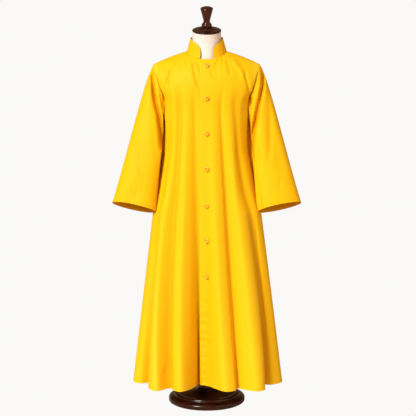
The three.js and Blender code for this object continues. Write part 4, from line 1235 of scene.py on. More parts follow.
@dataclass(frozen=True)
class PlainFinish:
    """A surface of one colour with a slight unevenness."""

    name: str
    colour: Colour
    second: Colour
    roughness: float
    scale: float
    bump: float = 0.0

    def build(self) -> bpy.types.Material:
        """Makes the material."""
        material, bench, shader = principled(self.name)
        where = bench.add("ShaderNodeTexCoord")
        noise = bench.add("ShaderNodeTexNoise", {"Scale": self.scale, "Detail": 4.0})
        bench.join(where.outputs["Object"], noise.inputs["Vector"])
        blend = bench.mix(noise.outputs["Fac"], self.colour, self.second)
        bench.join(blend, shader.inputs["Base Color"])
        shader.inputs["Roughness"].default_value = self.roughness
        if self.bump > 0:
            raised = bench.add("ShaderNodeBump", {"Strength": 0.3, "Distance": self.bump})
            bench.join(noise.outputs["Fac"], raised.inputs["Height"])
            bench.join(raised.outputs["Normal"], shader.inputs["Normal"])
        return material


@dataclass(frozen=True)
class StainedWoodFinish:
    """Turned hardwood with a dark red-brown stain under satin varnish."""

    name: str
    light: Colour
    dark: Colour
    stretch: Point
    scale: float = 1.0
    roughness: float = 0.3
    gloss: float = 0.12
    coat: float = 0.35
    coat_roughness: float = 0.16
    pore_depth: float = 0.0001

    def build(self, shelf: EffectShelf) -> bpy.types.Material:
        """Makes the material."""
        material, bench, shader = principled(self.name)
        grain = bench.add("ShaderNodeGroup", node_tree=shelf.get(Effect.TURNED_GRAIN))
        grain.inputs["Stretch"].default_value = self.stretch
        grain.inputs["Scale"].default_value = self.scale
        spread = bench.add("ShaderNodeMapRange", {"From Min": 0.35, "From Max": 0.65})
        bench.join(grain.outputs["Streak"], spread.inputs["Value"])
        blend = bench.mix(spread.outputs["Result"], self.dark, self.light)
        bench.join(blend, shader.inputs["Base Color"])
        bump = bench.add("ShaderNodeBump", {"Strength": 0.15, "Distance": self.pore_depth})
        bench.join(grain.outputs["Pore"], bump.inputs["Height"])
        bench.join(bump.outputs["Normal"], shader.inputs["Normal"])
        shader.inputs["Roughness"].default_value = self.roughness
        shader.inputs["Specular IOR Level"].default_value = self.gloss
        shader.inputs["Coat Weight"].default_value = self.coat
        shader.inputs["Coat Roughness"].default_value = self.coat_roughness
        return material


def principled(name: str) -> tuple[bpy.types.Material, NodeBench, bpy.types.Node]:
    """A new material with its bench and its Principled shader."""
    material = bpy.data.materials.new(name)
    material.use_nodes = True
    return material, NodeBench(material.node_tree), material.node_tree.nodes["Principled BSDF"]


# ---- Stitches ----
@dataclass
class StitchTree:
    """Geometry Nodes that lay sewing thread along a line of points."""

    pitch: float = 3.4
    length: float = 2.5
    radius: float = 0.32
    seed: int = 7

    def build(self, thread: bpy.types.Material) -> bpy.types.NodeTree:
        """Makes the tree, with its sizes in metres as named inputs."""
        tree = bpy.data.node_groups.new("Stitches", "GeometryNodeTree")
        face = tree.interface
        face.new_socket("Geometry", in_out="INPUT", socket_type="NodeSocketGeometry")
        for name in ("Pitch", "Stitch length", "Thread radius"):
            face.new_socket(name, in_out="INPUT", socket_type="NodeSocketFloat")
        face.new_socket("Geometry", in_out="OUTPUT", socket_type="NodeSocketGeometry")
        bench = NodeBench(tree)
        start, end = bench.add("NodeGroupInput"), bench.add("NodeGroupOutput")
        line = bench.add("GeometryNodeMeshToCurve")
        points = bench.add("GeometryNodeCurveToPoints", mode="LENGTH")
        stitch = bench.add("GeometryNodeMeshCylinder", {"Vertices": 6})
        least, most = (0.9, 0.9, 0.85), (1.1, 1.1, 1.05)
        uneven = bench.add(
            "FunctionNodeRandomValue",
            {"Min": least, "Max": most, "Seed": self.seed},
            data_type="FLOAT_VECTOR",
        )
        laid = bench.add("GeometryNodeInstanceOnPoints")
        real = bench.add("GeometryNodeRealizeInstances")
        dressed = bench.add("GeometryNodeSetMaterial", {"Material": thread})
        smooth = bench.add("GeometryNodeSetShadeSmooth")
        bench.join(start.outputs["Geometry"], line.inputs["Mesh"])
        bench.join(line.outputs["Curve"], points.inputs["Curve"])
        bench.join(start.outputs["Pitch"], points.inputs["Length"])
        bench.join(start.outputs["Stitch length"], stitch.inputs["Depth"])
        bench.join(start.outputs["Thread radius"], stitch.inputs["Radius"])
        bench.join(points.outputs["Points"], laid.inputs["Points"])
        bench.join(points.outputs["Rotation"], laid.inputs["Rotation"])
        bench.join(stitch.outputs["Mesh"], laid.inputs["Instance"])
        bench.join(uneven.outputs["Value"], laid.inputs["Scale"])
        bench.join(laid.outputs["Instances"], real.inputs["Geometry"])
        bench.join(real.outputs["Geometry"], smooth.inputs["Geometry"])
        bench.join(smooth.outputs["Geometry"], dressed.inputs["Geometry"])
        bench.join(dressed.outputs["Geometry"], end.inputs["Geometry"])
        return tree

    def sew(self, name: str, lines: Sequence[Array], tree: bpy.types.NodeTree) -> bpy.types.Object:
        """Sews along lines of points.

        Args:
            name: the piece's name.
            lines: each of shape (n, 3), in millimetres.
            tree: the stitch tree.

        Returns:
            The stitches as one plain mesh.
        """
        verts, edges = [], []
        for line in lines:
            first = len(verts)
            verts.extend((line * MM).tolist())
            edges.extend((first + i, first + i + 1) for i in range(len(line) - 1))
        guide_mesh = bpy.data.meshes.new(name + "_line")
        guide_mesh.from_pydata(verts, edges, [])
        guide = linked(guide_mesh, name + "_line")
        modifier = guide.modifiers.new("Stitches", "NODES")
        modifier.node_group = tree
        sizes = {"Pitch": self.pitch, "Stitch length": self.length, "Thread radius": self.radius}
        for item in tree.interface.items_tree:
            if item.in_out == "INPUT" and item.name in sizes:
                modifier[item.identifier] = sizes[item.name] * MM
        evaluated = guide.evaluated_get(bpy.context.evaluated_depsgraph_get())
        mesh = bpy.data.meshes.new_from_object(evaluated)
        guide.modifiers.remove(modifier)
        bpy.data.objects.remove(guide)
        bpy.data.meshes.remove(guide_mesh)
        mesh.name = name
        return linked(mesh, name)


# ---- Pieces ----
@dataclass
class Workshop:
    """What every piece is finished with."""

    shelf: EffectShelf
    cloth: bpy.types.Material
    thread: bpy.types.Material
    button: bpy.types.Material
    jersey: bpy.types.Material
    spindle_wood: bpy.types.Material
    plate_wood: bpy.types.Material
    stitches: StitchTree
    stitch_tree: bpy.types.NodeTree

    @classmethod
    def open(cls) -> Workshop:
        """Builds every finish."""
        shelf = EffectShelf()
        thread = PlainFinish(
            "Yellow thread",
            colour=(0.98, 0.55, 0.012, 1),
            second=(0.95, 0.48, 0.006, 1),
            roughness=0.6,
            scale=900.0,
        ).build()
        stitches = StitchTree()
        return cls(
            shelf=shelf,
            cloth=PoplinFinish().build(shelf),
            thread=thread,
            button=PlainFinish(
                "Dyed button",
                colour=(0.79, 0.44, 0.005, 1),
                second=(0.76, 0.41, 0.004, 1),
                roughness=0.3,
                scale=60.0,
            ).build(),
            jersey=PlainFinish(
                "Cream jersey",
                colour=(0.745, 0.715, 0.685, 1),
                second=(0.715, 0.685, 0.655, 1),
                roughness=0.9,
                scale=700.0,
                bump=0.00012,
            ).build(),
            spindle_wood=StainedWoodFinish(
                "Stained spindle",
                light=(0.07, 0.011, 0.0035, 1),
                dark=(0.022, 0.0035, 0.0013, 1),
                stretch=(60.0, 60.0, 6.0),
            ).build(shelf),
            plate_wood=StainedWoodFinish(
                "Stained plate",
                light=(0.036, 0.0068, 0.0027, 1),
                dark=(0.011, 0.002, 0.0008, 1),
                stretch=(7.0, 60.0, 60.0),
            ).build(shelf),
            stitches=stitches,
            stitch_tree=stitches.build(thread),
        )

    def dress(self, piece: bpy.types.Object, material: bpy.types.Material) -> bpy.types.Object:
        """Gives a piece its material and its body.

        Args:
            piece: the finished object.
            material: its material.

        Returns:
            The same object.
        """
        piece.data.materials.clear()
        piece.data.materials.append(material)
        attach(piece, BODY)
        LOG.info("%s: %d faces", piece.name, len(piece.data.polygons))
        return piece

    def sew(self, name: str, lines: Sequence[Array]) -> bpy.types.Object:
        """Sews along lines of points and dresses the stitches."""
        return self.dress(self.stitches.sew(name, lines, self.stitch_tree), self.thread)


@dataclass(frozen=True)
class PanelPlan:
    """A panel's node, the fold lines it runs between, and the width and length of its cut in metres."""

    node: str
    first: str
    last: str
    flat: tuple[float, float]


PANEL_PLANS = (
    PanelPlan("front_right", "right_seam", "front_rise", (0.68, 1.41)),
    PanelPlan("front_left", "front_edge", "left_seam", (0.61, 1.42)),
    PanelPlan("back", "left_seam", "right_seam", (1.1, 1.42)),
)


@dataclass
class BodyPanels:
    """Both fronts and the back, cut from the body's surface along its fold lines."""

    surface: BodyCloth
    wall: float = 1.2
    lap: float = 2.6
    tuck: float = 15
    tuck_top: float = 1180
    tuck_reach: float = 0.35
    seam_gap: float = 0.1
    thread_lift: float = 0.25

    def lap_sink(self, places: Array) -> Array:
        """How far the right front lies under the left one, deeper in the fold towards the hem."""
        surface = self.surface
        start, edge = LINE_PLACE["trough_b"], LINE_PLACE["front_edge"]
        lap = self.lap * np.clip((places - start) / (edge - start), 0, 1)
        heights = surface.points[:, surface.column("front_edge"), 2]
        tuck = self.tuck * ease((self.tuck_top - heights) / (self.tuck_top - surface.cut.hem))
        across = ease((places - start + self.tuck_reach) / (edge - start + self.tuck_reach))
        return lap[None] + tuck[:, None] * across[None]

    def columns(self, first: str, last: str) -> Array:
        """Columns from one fold line to another, once round where the last is the first seam."""
        a, b = self.surface.column(first), self.surface.column(last)
        if b <= a:
            b += len(self.surface.places)
        return np.arange(a, b + 1) % len(self.surface.places)

    def panel(self, columns: Array, sink: Array) -> ClothGrid:
        """Grid of a panel, its edges drawn in by half the gap of a seam."""
        surface = self.surface
        points = surface.points[:, columns] - surface.normals[:, columns] * sink[..., None]
        normals = surface.normals[:, columns].copy()
        present = surface.present[:, columns]
        for edge, inside in ((0, 1), (-1, -2)):
            points[:, edge] += unit(points[:, inside] - points[:, edge]) * self.seam_gap
        top = points[-2] - points[-1]
        points[-1] += unit(top) * self.seam_gap
        return ClothGrid(points, normals, present, False, surface.hollow[:, columns], self.wall)

    def line_on(self, grid: ClothGrid, row: int) -> Array:
        """A row of a grid, lifted just clear of the cloth."""
        return grid.points[row] + grid.normals[row] * self.thread_lift

    def build(self, shop: Workshop) -> None:
        """Makes the three panels with their hem stitches."""
        surface = self.surface
        hem_row = int(np.argmin(np.abs(surface.heights - surface.cut.hem - surface.hem.band)))
        for plan in PANEL_PLANS:
            columns = self.columns(plan.first, plan.last)
            under = plan.node == "front_right"
            sink = self.lap_sink(surface.places[columns]) if under else np.zeros((1, len(columns)))
            grid = self.panel(columns, sink)
            cloth = shop.dress(grid.piece(f"cloth_{plan.node}"), shop.cloth)
            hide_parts(plan.node)
            hem = shop.sew(f"hem_stitches_{plan.node}", [self.line_on(grid, hem_row)])
            round(grid.area(), 3)


@dataclass
class SleeveCut:
    """Sizes of a sleeve, for the left arm."""

    cuff_outer: Point = (384, -40, 837)
    cuff_inner: Point = (206, -60, 802)
    cuff_half_depth: float = 50
    cuff_front_rise: float = 19
    cap: Point = (40, -4, -72)
    fall: Point = (-58, 6, 180)
    clear: float = 3
    clear_from: float = 0.08
    cuff: StitchLine = StitchLine()
    plain_length: float = 590
    flat_length: float = 0.59
    rows: int = 92


@dataclass(frozen=True)
class SleeveFold:
    """A soft trough down a sleeve: its angles round the arm and its shares of the length."""

    from_at: float
    to_at: float
    start: float
    end: float
    depth: float
    spread: float

    def dip(self, at: Array, t: float) -> Array:
        """How deep the trough is at angles round the arm and a share of the length."""
        if not self.start <= t <= self.end:
            return np.zeros_like(at)
        run = 0.16
        share = (t - self.start) / (self.end - self.start)
        off = (at - lerp(self.from_at, self.to_at, share)) / self.spread
        begin = 1.0 if self.start < run else float(ease((t - self.start) / run))
        finish = 1.0 if self.end == 1 else float(ease((self.end - t) / run))
        return self.depth * np.exp(-off * off) * begin * finish * float(ease(t / run))


SLEEVE_FOLDS = {
    Side.RIGHT: (
        SleeveFold(60, 118, 0.02, 0.62, 7, 17),
        SleeveFold(104, 78, 0.72, 1, 5, 20),
        SleeveFold(262, 234, 0.05, 0.8, 6, 20),
    ),
    Side.LEFT: (
        SleeveFold(92, 132, 0.02, 0.7, 7, 17),
        SleeveFold(66, 60, 0.15, 0.85, 4, 18),
        SleeveFold(256, 240, 0.05, 0.75, 6, 20),
    ),
}
SLEEVE_CREASES = {
    Side.RIGHT: (
        Crease(
            (
                *((-220, 1384), (-218, 1333), (-212, 1284), (-201, 1231)),
                *((-191, 1191), (-183, 1130), (-177, 1085), (-174, 1040)),
            ),
            *(4.5, 17, 0.12, 2.3, 0.3, 1.5),
        ),
        Crease(((-187, 1290), (-180, 1250), (-174, 1205)), 3.4, 5.0, 0.3, 1.0, 0.2, 1.4),
        Crease(((-284, 1110), (-276, 1010), (-262, 962), (-236, 915)), 15, 5, 0.3, 1.0, 0.3),
        Crease(((-240, 1110), (-238, 960)), 20, 2),
        Crease(((-314, 905), (-316, 868)), 5, 1.8),
        Crease(((-300, 912), (-299, 872)), 4.5, 1.4),
        Crease(((-285, 898), (-282, 858)), 6, 2.0),
        Crease(((-262, 905), (-256, 872)), 5, 1.4),
    ),
    Side.LEFT: (
        Crease(
            (
                *((222, 1384), (228, 1353), (226, 1312), (217, 1272)),
                *((205, 1211), (187, 1130), (181, 1060), (180, 985)),
            ),
            *(7.5, 22, 0.12, 1.3, 0.3, 1.2),
        ),
        Crease(((188, 1300), (182, 1262), (176, 1215)), 3.4, 4.0, 0.3, 1.0, 0.2, 1.2),
        Crease(((240, 1340), (254, 1210), (252, 1050), (242, 965)), 13, 4.5, 0.3, 1.2, 0.3),
        Crease(((300, 960), (288, 885)), 10, 2),
        Crease(((236, 880), (240, 846)), 6, 1.4),
        Crease(((262, 900), (258, 850)), 7, 1.2),
    ),
}
# How far the front of each sleeve lies in over the body, by height.
FRONT_DRAWS = {
    Side.RIGHT: ((800, 0), (884, 3), (967, 11), (1048, 18), (1130, 20), (1211, 12), (1290, 0)),
    Side.LEFT: ((800, 0), (840, 7), (884, 9), (986, 11), (1048, 15), (1130, 16), (1211, 6), (1290, 0)),
}


@dataclass
class Sleeve:
    """A tapering sleeve that hangs from its armhole, just clear of the skirt."""

    side: Side
    surface: BodyCloth
    cut: SleeveCut = field(default_factory=SleeveCut)
    wall: float = 1.2
    seam_gap: float = 0.2
    thread_lift: float = 0.25
    draw_clear: float = 38
    draw_clear_cuff: float = 20
    draw_soft: float = 18
    draw_out: float = 0.4
    draw_from: float = 0.1
    draw_inner: Ramp = Ramp(40, 70)
    press_from: Ramp = Ramp(1, 10)
    press_front: Ramp = Ramp(0.05, 0.4)
    pocket_fore: Ramp = Ramp(22, 20)
    pocket_share: float = 0.7
    pocket_widen: float = 1.5
    groove: tuple[float, float] = (1.3, 4.4)
    groove_width: float = 4.2
    hollow_smoothing: int = 40

    def armhole(self) -> Array:
        """Loop of the armhole in the left side's frame, from the shoulder over the front."""
        surface, sign = self.surface, self.side.value
        name = self.side.name.lower()
        front, back = surface.column(f"{name}_corner"), surface.column(f"back_{name}_corner")
        count = len(surface.places)
        end = back if sign > 0 else back - count
        low = [surface.points[surface.chest_row, c % count] for c in range(front, end, sign)]
        down = [surface.points[r, front] for r in range(len(surface.points) - 1, surface.chest_row, -1)]
        up = [surface.points[r, back] for r in range(surface.chest_row, len(surface.points) - 1)]
        loop = np.array(down + low + up)
        return loop * np.array([sign, 1, 1])

    def outer(self, t: float) -> Array:
        """Point of the line along the sleeve's outside, from the shoulder to the cuff."""
        shoulder, cuff = self.surface.shoulder, np.array(self.cut.cuff_outer, float)
        return bezier([shoulder, shoulder + self.cut.cap, cuff + self.cut.fall, cuff], t)

    def inner(self, t: float) -> Array:
        """Point of the line under the arm, from the underarm to the cuff."""
        return lerp(np.array(self.surface.cut.underarm, float), np.array(self.cut.cuff_inner, float), t)

    def ring(self, at: Array, t: float) -> Array:
        """Plain ring of the sleeve at a share of its length."""
        outer, inner = self.outer(t), self.inner(t)
        middle = (outer + inner) / 2
        depth = lerp(self.surface.cut.armhole_half_depth, self.cut.cuff_half_depth, t)
        fore = np.array([0, -depth, self.cut.cuff_front_rise * t * t])
        turn = np.radians(at)[:, None]
        return middle + (outer - middle) * np.cos(turn) + fore * np.sin(turn)

    def skirt_radius(self, turn: float, z: float) -> float:
        """Radius of the skirt at an angle and a height, or 0 above it."""
        surface = self.surface
        top = surface.chest_row
        row = int(np.clip(np.searchsorted(surface.heights, z) - 1, 0, top - 1))
        low, high = surface.points[row], surface.points[row + 1]
        t = (z - low[:, 2]) / (high[:, 2] - low[:, 2])
        ring = lerp(low, high, t[:, None])
        angles = np.degrees(np.arctan2(ring[:, 0], -ring[:, 1]))
        radii = np.where(t > 1, 0, np.hypot(ring[:, 0], ring[:, 1]))
        order = np.argsort(angles)
        return float(np.interp(turn, angles[order], radii[order], period=360))

    def shares(self) -> Array:
        """Shares of the sleeve's length, closer at the armhole and at the cuff's stitch line."""
        near_armhole, after_armhole, before_cuff = (0, 0.003, 0.008, 0.016, 0.028, 0.042), 0.06, 0.014
        near_cuff = 1 - self.cut.cuff.rows()[::-1] / self.cut.plain_length
        between = np.linspace(after_armhole, near_cuff[0] - before_cuff, self.cut.rows)
        return np.concatenate([near_armhole, between, near_cuff])

    def grid(self) -> ClothGrid:
        """Lays out the sleeve from the armhole to the cuff."""
        surface, sign = self.surface, self.side.value
        loop = self.armhole()
        half = surface.armhole_half
        away = loop - surface.armhole_middle
        up = away @ half / (half @ half)
        at = np.degrees(np.arctan2(-away[:, 1] / surface.cut.armhole_half_depth, up))
        at = np.unwrap(at, period=360)
        out = unit(np.cross(half, [0.0, -1.0, 0.0]))
        start = self.doubled(loop + out * self.seam_gap)
        at = self.doubled(np.append(at, at[0] + 360))[:-2] % 360
        first = self.ring(at, 0.0)
        rows = []
        for t in self.shares():
            points = self.ring(at, t) + (start - first) * float(1 - ease(t / (2 * self.cut.clear_from)))
            middle = (self.outer(t) + self.inner(t)) / 2
            inwards = unit((middle - points) * np.array([1, 1, 0]))
            dip = sum(fold.dip(at, t) for fold in SLEEVE_FOLDS[self.side])
            points = points + inwards * np.asarray(dip)[:, None]
            if t > 0:
                points = np.array([self.kept_clear(p, t) for p in points])
                points = points + self.drawn_over(points, at, t)
            rows.append(points)
        points = np.array(rows)[::-1] * np.array([sign, 1, 1])
        if sign > 0:
            points = points[:, ::-1]
            at = at[::-1]
        return self.dressed(points, at)

    def doubled(self, values: Array) -> Array:
        """A ring of values with the middle of each pair put between them."""
        middle = (values + np.roll(values, -1, axis=0)) / 2
        return np.stack([values, middle], axis=1).reshape(-1, *values.shape[1:])

    def drawn_over(self, points: Array, at: Array, t: float) -> Array:
        """How far the sleeve's inner front slides in over the body and out of its way."""
        heights, draws = zip(*FRONT_DRAWS[self.side])
        amount = np.interp(points[:, 2], heights, draws) * float(ease(t / self.draw_from))
        clear = self.draw_clear + self.draw_clear_cuff * t
        fore = ease((-points[:, 1] - clear) / self.draw_soft)
        inner = np.where(at < 180, self.draw_inner.at(at), 0)
        moved = np.zeros_like(points)
        moved[:, 0] = -amount * fore * inner
        moved[:, 1] = -amount * self.draw_out * fore * inner
        return moved

    def kept_clear(self, point: Array, t: float) -> Array:
        """A point moved out where it would reach the skirt."""
        turn = math.degrees(math.atan2(point[0] * self.side.value, -point[1]))
        skirt = self.skirt_radius(turn, point[2])
        clear = skirt + self.cut.clear * min(1.0, t / self.cut.clear_from)
        r = math.hypot(point[0], point[1])
        if skirt <= 0 or r >= clear:
            return point
        return np.array([point[0] * clear / r, point[1] * clear / r, point[2]])

    def dressed(self, points: Array, at: Array) -> ClothGrid:
        """Adds creases, the cuff's stitch line and the armhole seam to the plain rows."""
        around = np.roll(points, -1, axis=1) - np.roll(points, 1, axis=1)
        up = np.gradient(points, axis=0)
        normals = unit(np.cross(around, up))
        middle = points.mean(axis=1, keepdims=True)
        if np.mean(np.sum(normals * (points - middle), axis=2)) < 0:
            normals = -normals
        from_cuff = run_lengths(points, 0)[:, None]
        to_armhole = from_cuff[-1] - from_cuff
        pressed = np.zeros(points.shape[:2])
        front = (at < 180)[None]
        for crease in SLEEVE_CREASES[self.side]:
            pressed += np.where(front, crease.dip(points[..., 0], points[..., 2]), 0)
        pressed *= self.press_from.at(to_armhole) * self.press_front.at(np.sin(np.radians(at)))[None]
        edge, body = points[-1], self.surface
        pocket = body.pocket(edge[:, 2]) * self.pocket_fore.at(np.abs(edge[:, 1]))
        depth = lerp(*self.groove, body.below_shoulder.at(body.shoulder[2] - edge[:, 2]))
        depth += body.pocket_depth * self.pocket_share * pocket
        width = self.groove_width + self.pocket_widen * pocket[None]
        dip = self.cut.cuff.depth(from_cuff) + depth[None] * np.exp(-((to_armhole / width) ** 2))
        smooth = smoothed_round(points, self.hollow_smoothing)
        # Fold depth for the painted fold shade, deepened by a share of each pressed crease.
        hollow = np.sum((smooth - points) * normals, axis=2) + body.painted_shade_share * pressed
        points = points - normals * dip[..., None] + pressed[..., None] * np.array([0, 1, 0])
        out = unit(np.cross(body.armhole_half, [0.0, -1.0, 0.0])) * np.array([self.side.value, 1, 1])
        leaning = np.maximum(0, normals[-1] @ out)[:, None]
        normals[-1] = unit(normals[-1] - out * leaning)
        present = np.ones((len(points) - 1, points.shape[1]), bool)
        return ClothGrid(points, normals, present, True, hollow, self.wall)

    def build(self, shop: Workshop) -> None:
        """Makes the sleeve with its cuff stitches."""
        name = self.side.name.lower()
        grid = self.grid()
        cloth = shop.dress(grid.piece(f"cloth_sleeve_{name}"), shop.cloth)
        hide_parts(f"sleeve_{name}")
        row = int(np.argmin(np.abs(run_lengths(grid.points, 0) - self.cut.cuff.band)))
        line = grid.points[row] + grid.normals[row] * self.thread_lift
        stitches = shop.sew(f"cuff_stitches_{name}", [np.concatenate([line, line[:1]])])
        round(grid.area(), 3)


@dataclass
class Collar:
    """Stand collar, open at the front with rounded ends."""

    surface: BodyCloth
    height: float = 54
    seat: float = -0.5
    end_x: float = 27
    end_round: float = 34
    top_half_width: float = 64.5
    top_middle: float = -14
    top_front: float = 60
    top_back: float = 58
    columns: int = 140
    crowd: float = 1.25
    rows: int = 16
    wall: float = 1.8
    flat: tuple[float, float] = (0.43, 0.058)

    def grid(self) -> ClothGrid:
        """Lays out the collar from its foot up, from one front end round the back to the other."""
        end_turn = math.degrees(math.asin(self.end_x / self.surface.neck[0]))
        share = np.linspace(-1, 1, self.columns)
        crowded = np.sign(share) * (1 - (1 - np.abs(share)) ** self.crowd)
        turn = 180 + crowded * (180 - end_turn)
        side, fore, off = self.surface.standing(turn)
        flip = on_side(side)
        foot = self.surface.neckline(off, fore) * flip + np.array([0, 0, self.seat])
        depth = np.where(fore > 0, self.top_front, self.top_back)
        s, c = np.sin(np.radians(off)), np.cos(np.radians(off))
        crown_x, crown_y = side * self.top_half_width * s, self.top_middle - fore * depth * c
        crown = np.stack([crown_x, crown_y, foot[:, 2] - self.seat + self.height], axis=1)
        half = np.column_stack([np.abs(foot[:, 0]), foot[:, 1:]])
        from_end = np.minimum(self.end_round, np.linalg.norm(half - half[0], axis=1))
        short = np.where(fore > 0, self.end_round - from_end, 0)
        cut = self.end_round - np.sqrt(np.maximum(0, self.end_round**2 - short**2))
        top = (self.height - cut) / self.height
        points = np.array([lerp(foot, crown, (top * r)[:, None]) for r in np.linspace(0, 1, self.rows + 1)])
        around = np.gradient(points, axis=1)
        up = np.broadcast_to((points[-1] - points[0])[None], points.shape)
        normals = unit(np.cross(around, up))
        present = np.ones((self.rows, self.columns), bool)
        return ClothGrid(points, normals, present, False, np.zeros(points.shape[:2]), self.wall)

    def build(self, shop: Workshop) -> None:
        """Makes the collar."""
        grid = self.grid()
        cloth = shop.dress(grid.piece("cloth_collar"), shop.cloth)
        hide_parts("collar")
        round(grid.area(), 4)


@dataclass
class Buttons:
    """Round buttons with a raised rim, a dished ring and a small centre."""

    count: int = 7
    segments: int = 48
    profile: tuple[tuple[float, float, float], ...] = (
        (8.6, 0, 0),
        (11.2, 1.2, 0.8),
        (11.3, 2.4, 0.8),
        (10.2, 3.0, 0.8),
        (8.6, 2.8, 0.6),
        (8.2, 5.6, 1.2),
        (6.4, 7.4, 1.6),
        (4.4, 6.2, 0.9),
        (3.2, 2.6, 0.8),
        (1.2, 2.2, 0.4),
        (0.5, 2.2, 0),
    )

    def build(self, shop: Workshop, frame: dict) -> None:
        """Makes each button on the axis of its node, from the top down."""
        for number in range(1, self.count + 1):
            node = f"button_{number}"
            place = self.axis_of(frame["nodes"][node])
            mesh = turned_mesh(rounded(self.profile), self.segments, place)
            piece = shop.dress(finished(mesh, f"dyed_{node}", sharp_from=50), shop.button)
            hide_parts(node)

    def axis_of(self, node: bpy.types.Object) -> Matrix:
        """Where a button's node stands and faces, in millimetres, from its own vertices."""
        co = np.array([v.co for v in node.data.vertices], float) / MM
        co = np.unique(np.round(co, 3), axis=0)
        middle = co.mean(axis=0)
        _, axes = np.linalg.eigh(np.cov((co - middle).T))
        axis = axes[:, 0] * (-1 if axes[1, 0] > 0 else 1)
        along = (co - middle) @ axis
        foot = middle + axis * along.min()
        turn = Vector((0, 0, 1)).rotation_difference(Vector(axis)).to_matrix().to_4x4()
        return Matrix.Translation(Vector(foot)) @ turn


def smooth_copy(
    node: bpy.types.Object, name: str, levels: int, crease_from: float, sharp_from: float
) -> bpy.types.Object:
    """A finely subdivided copy of a node's solid.

    Args:
        node: the CAD node.
        name: the copy's name.
        levels: subdivision levels.
        crease_from: angle in degrees from which an edge isn't rounded.
        sharp_from: angle in degrees from which an edge is shaded sharp.

    Returns:
        The copy, with its subdivision applied.
    """
    bm = bmesh.new()
    bm.from_mesh(node.data)
    bmesh.ops.remove_doubles(bm, verts=bm.verts, dist=0.01 * MM)
    bend, shape = math.radians(40), math.radians(60)
    bmesh.ops.join_triangles(bm, faces=bm.faces, angle_face_threshold=bend, angle_shape_threshold=shape)
    crease = bm.edges.layers.float.new("crease_edge")
    for edge in bm.edges:
        if len(edge.link_faces) == 2 and edge.calc_face_angle(0) > math.radians(crease_from):
            edge[crease] = 1.0
    mesh = bpy.data.meshes.new(name)
    bm.to_mesh(mesh)
    bm.free()
    made = finished(mesh, name, sharp_from)
    modifier = made.modifiers.new("Smooth", "SUBSURF")
    modifier.levels = modifier.render_levels = levels
    smooth = bpy.data.meshes.new_from_object(made.evaluated_get(bpy.context.evaluated_depsgraph_get()))
    made.modifiers.remove(modifier)
    made.data = smooth
    smooth.set_sharp_from_angle(angle=math.radians(sharp_from))
    return made


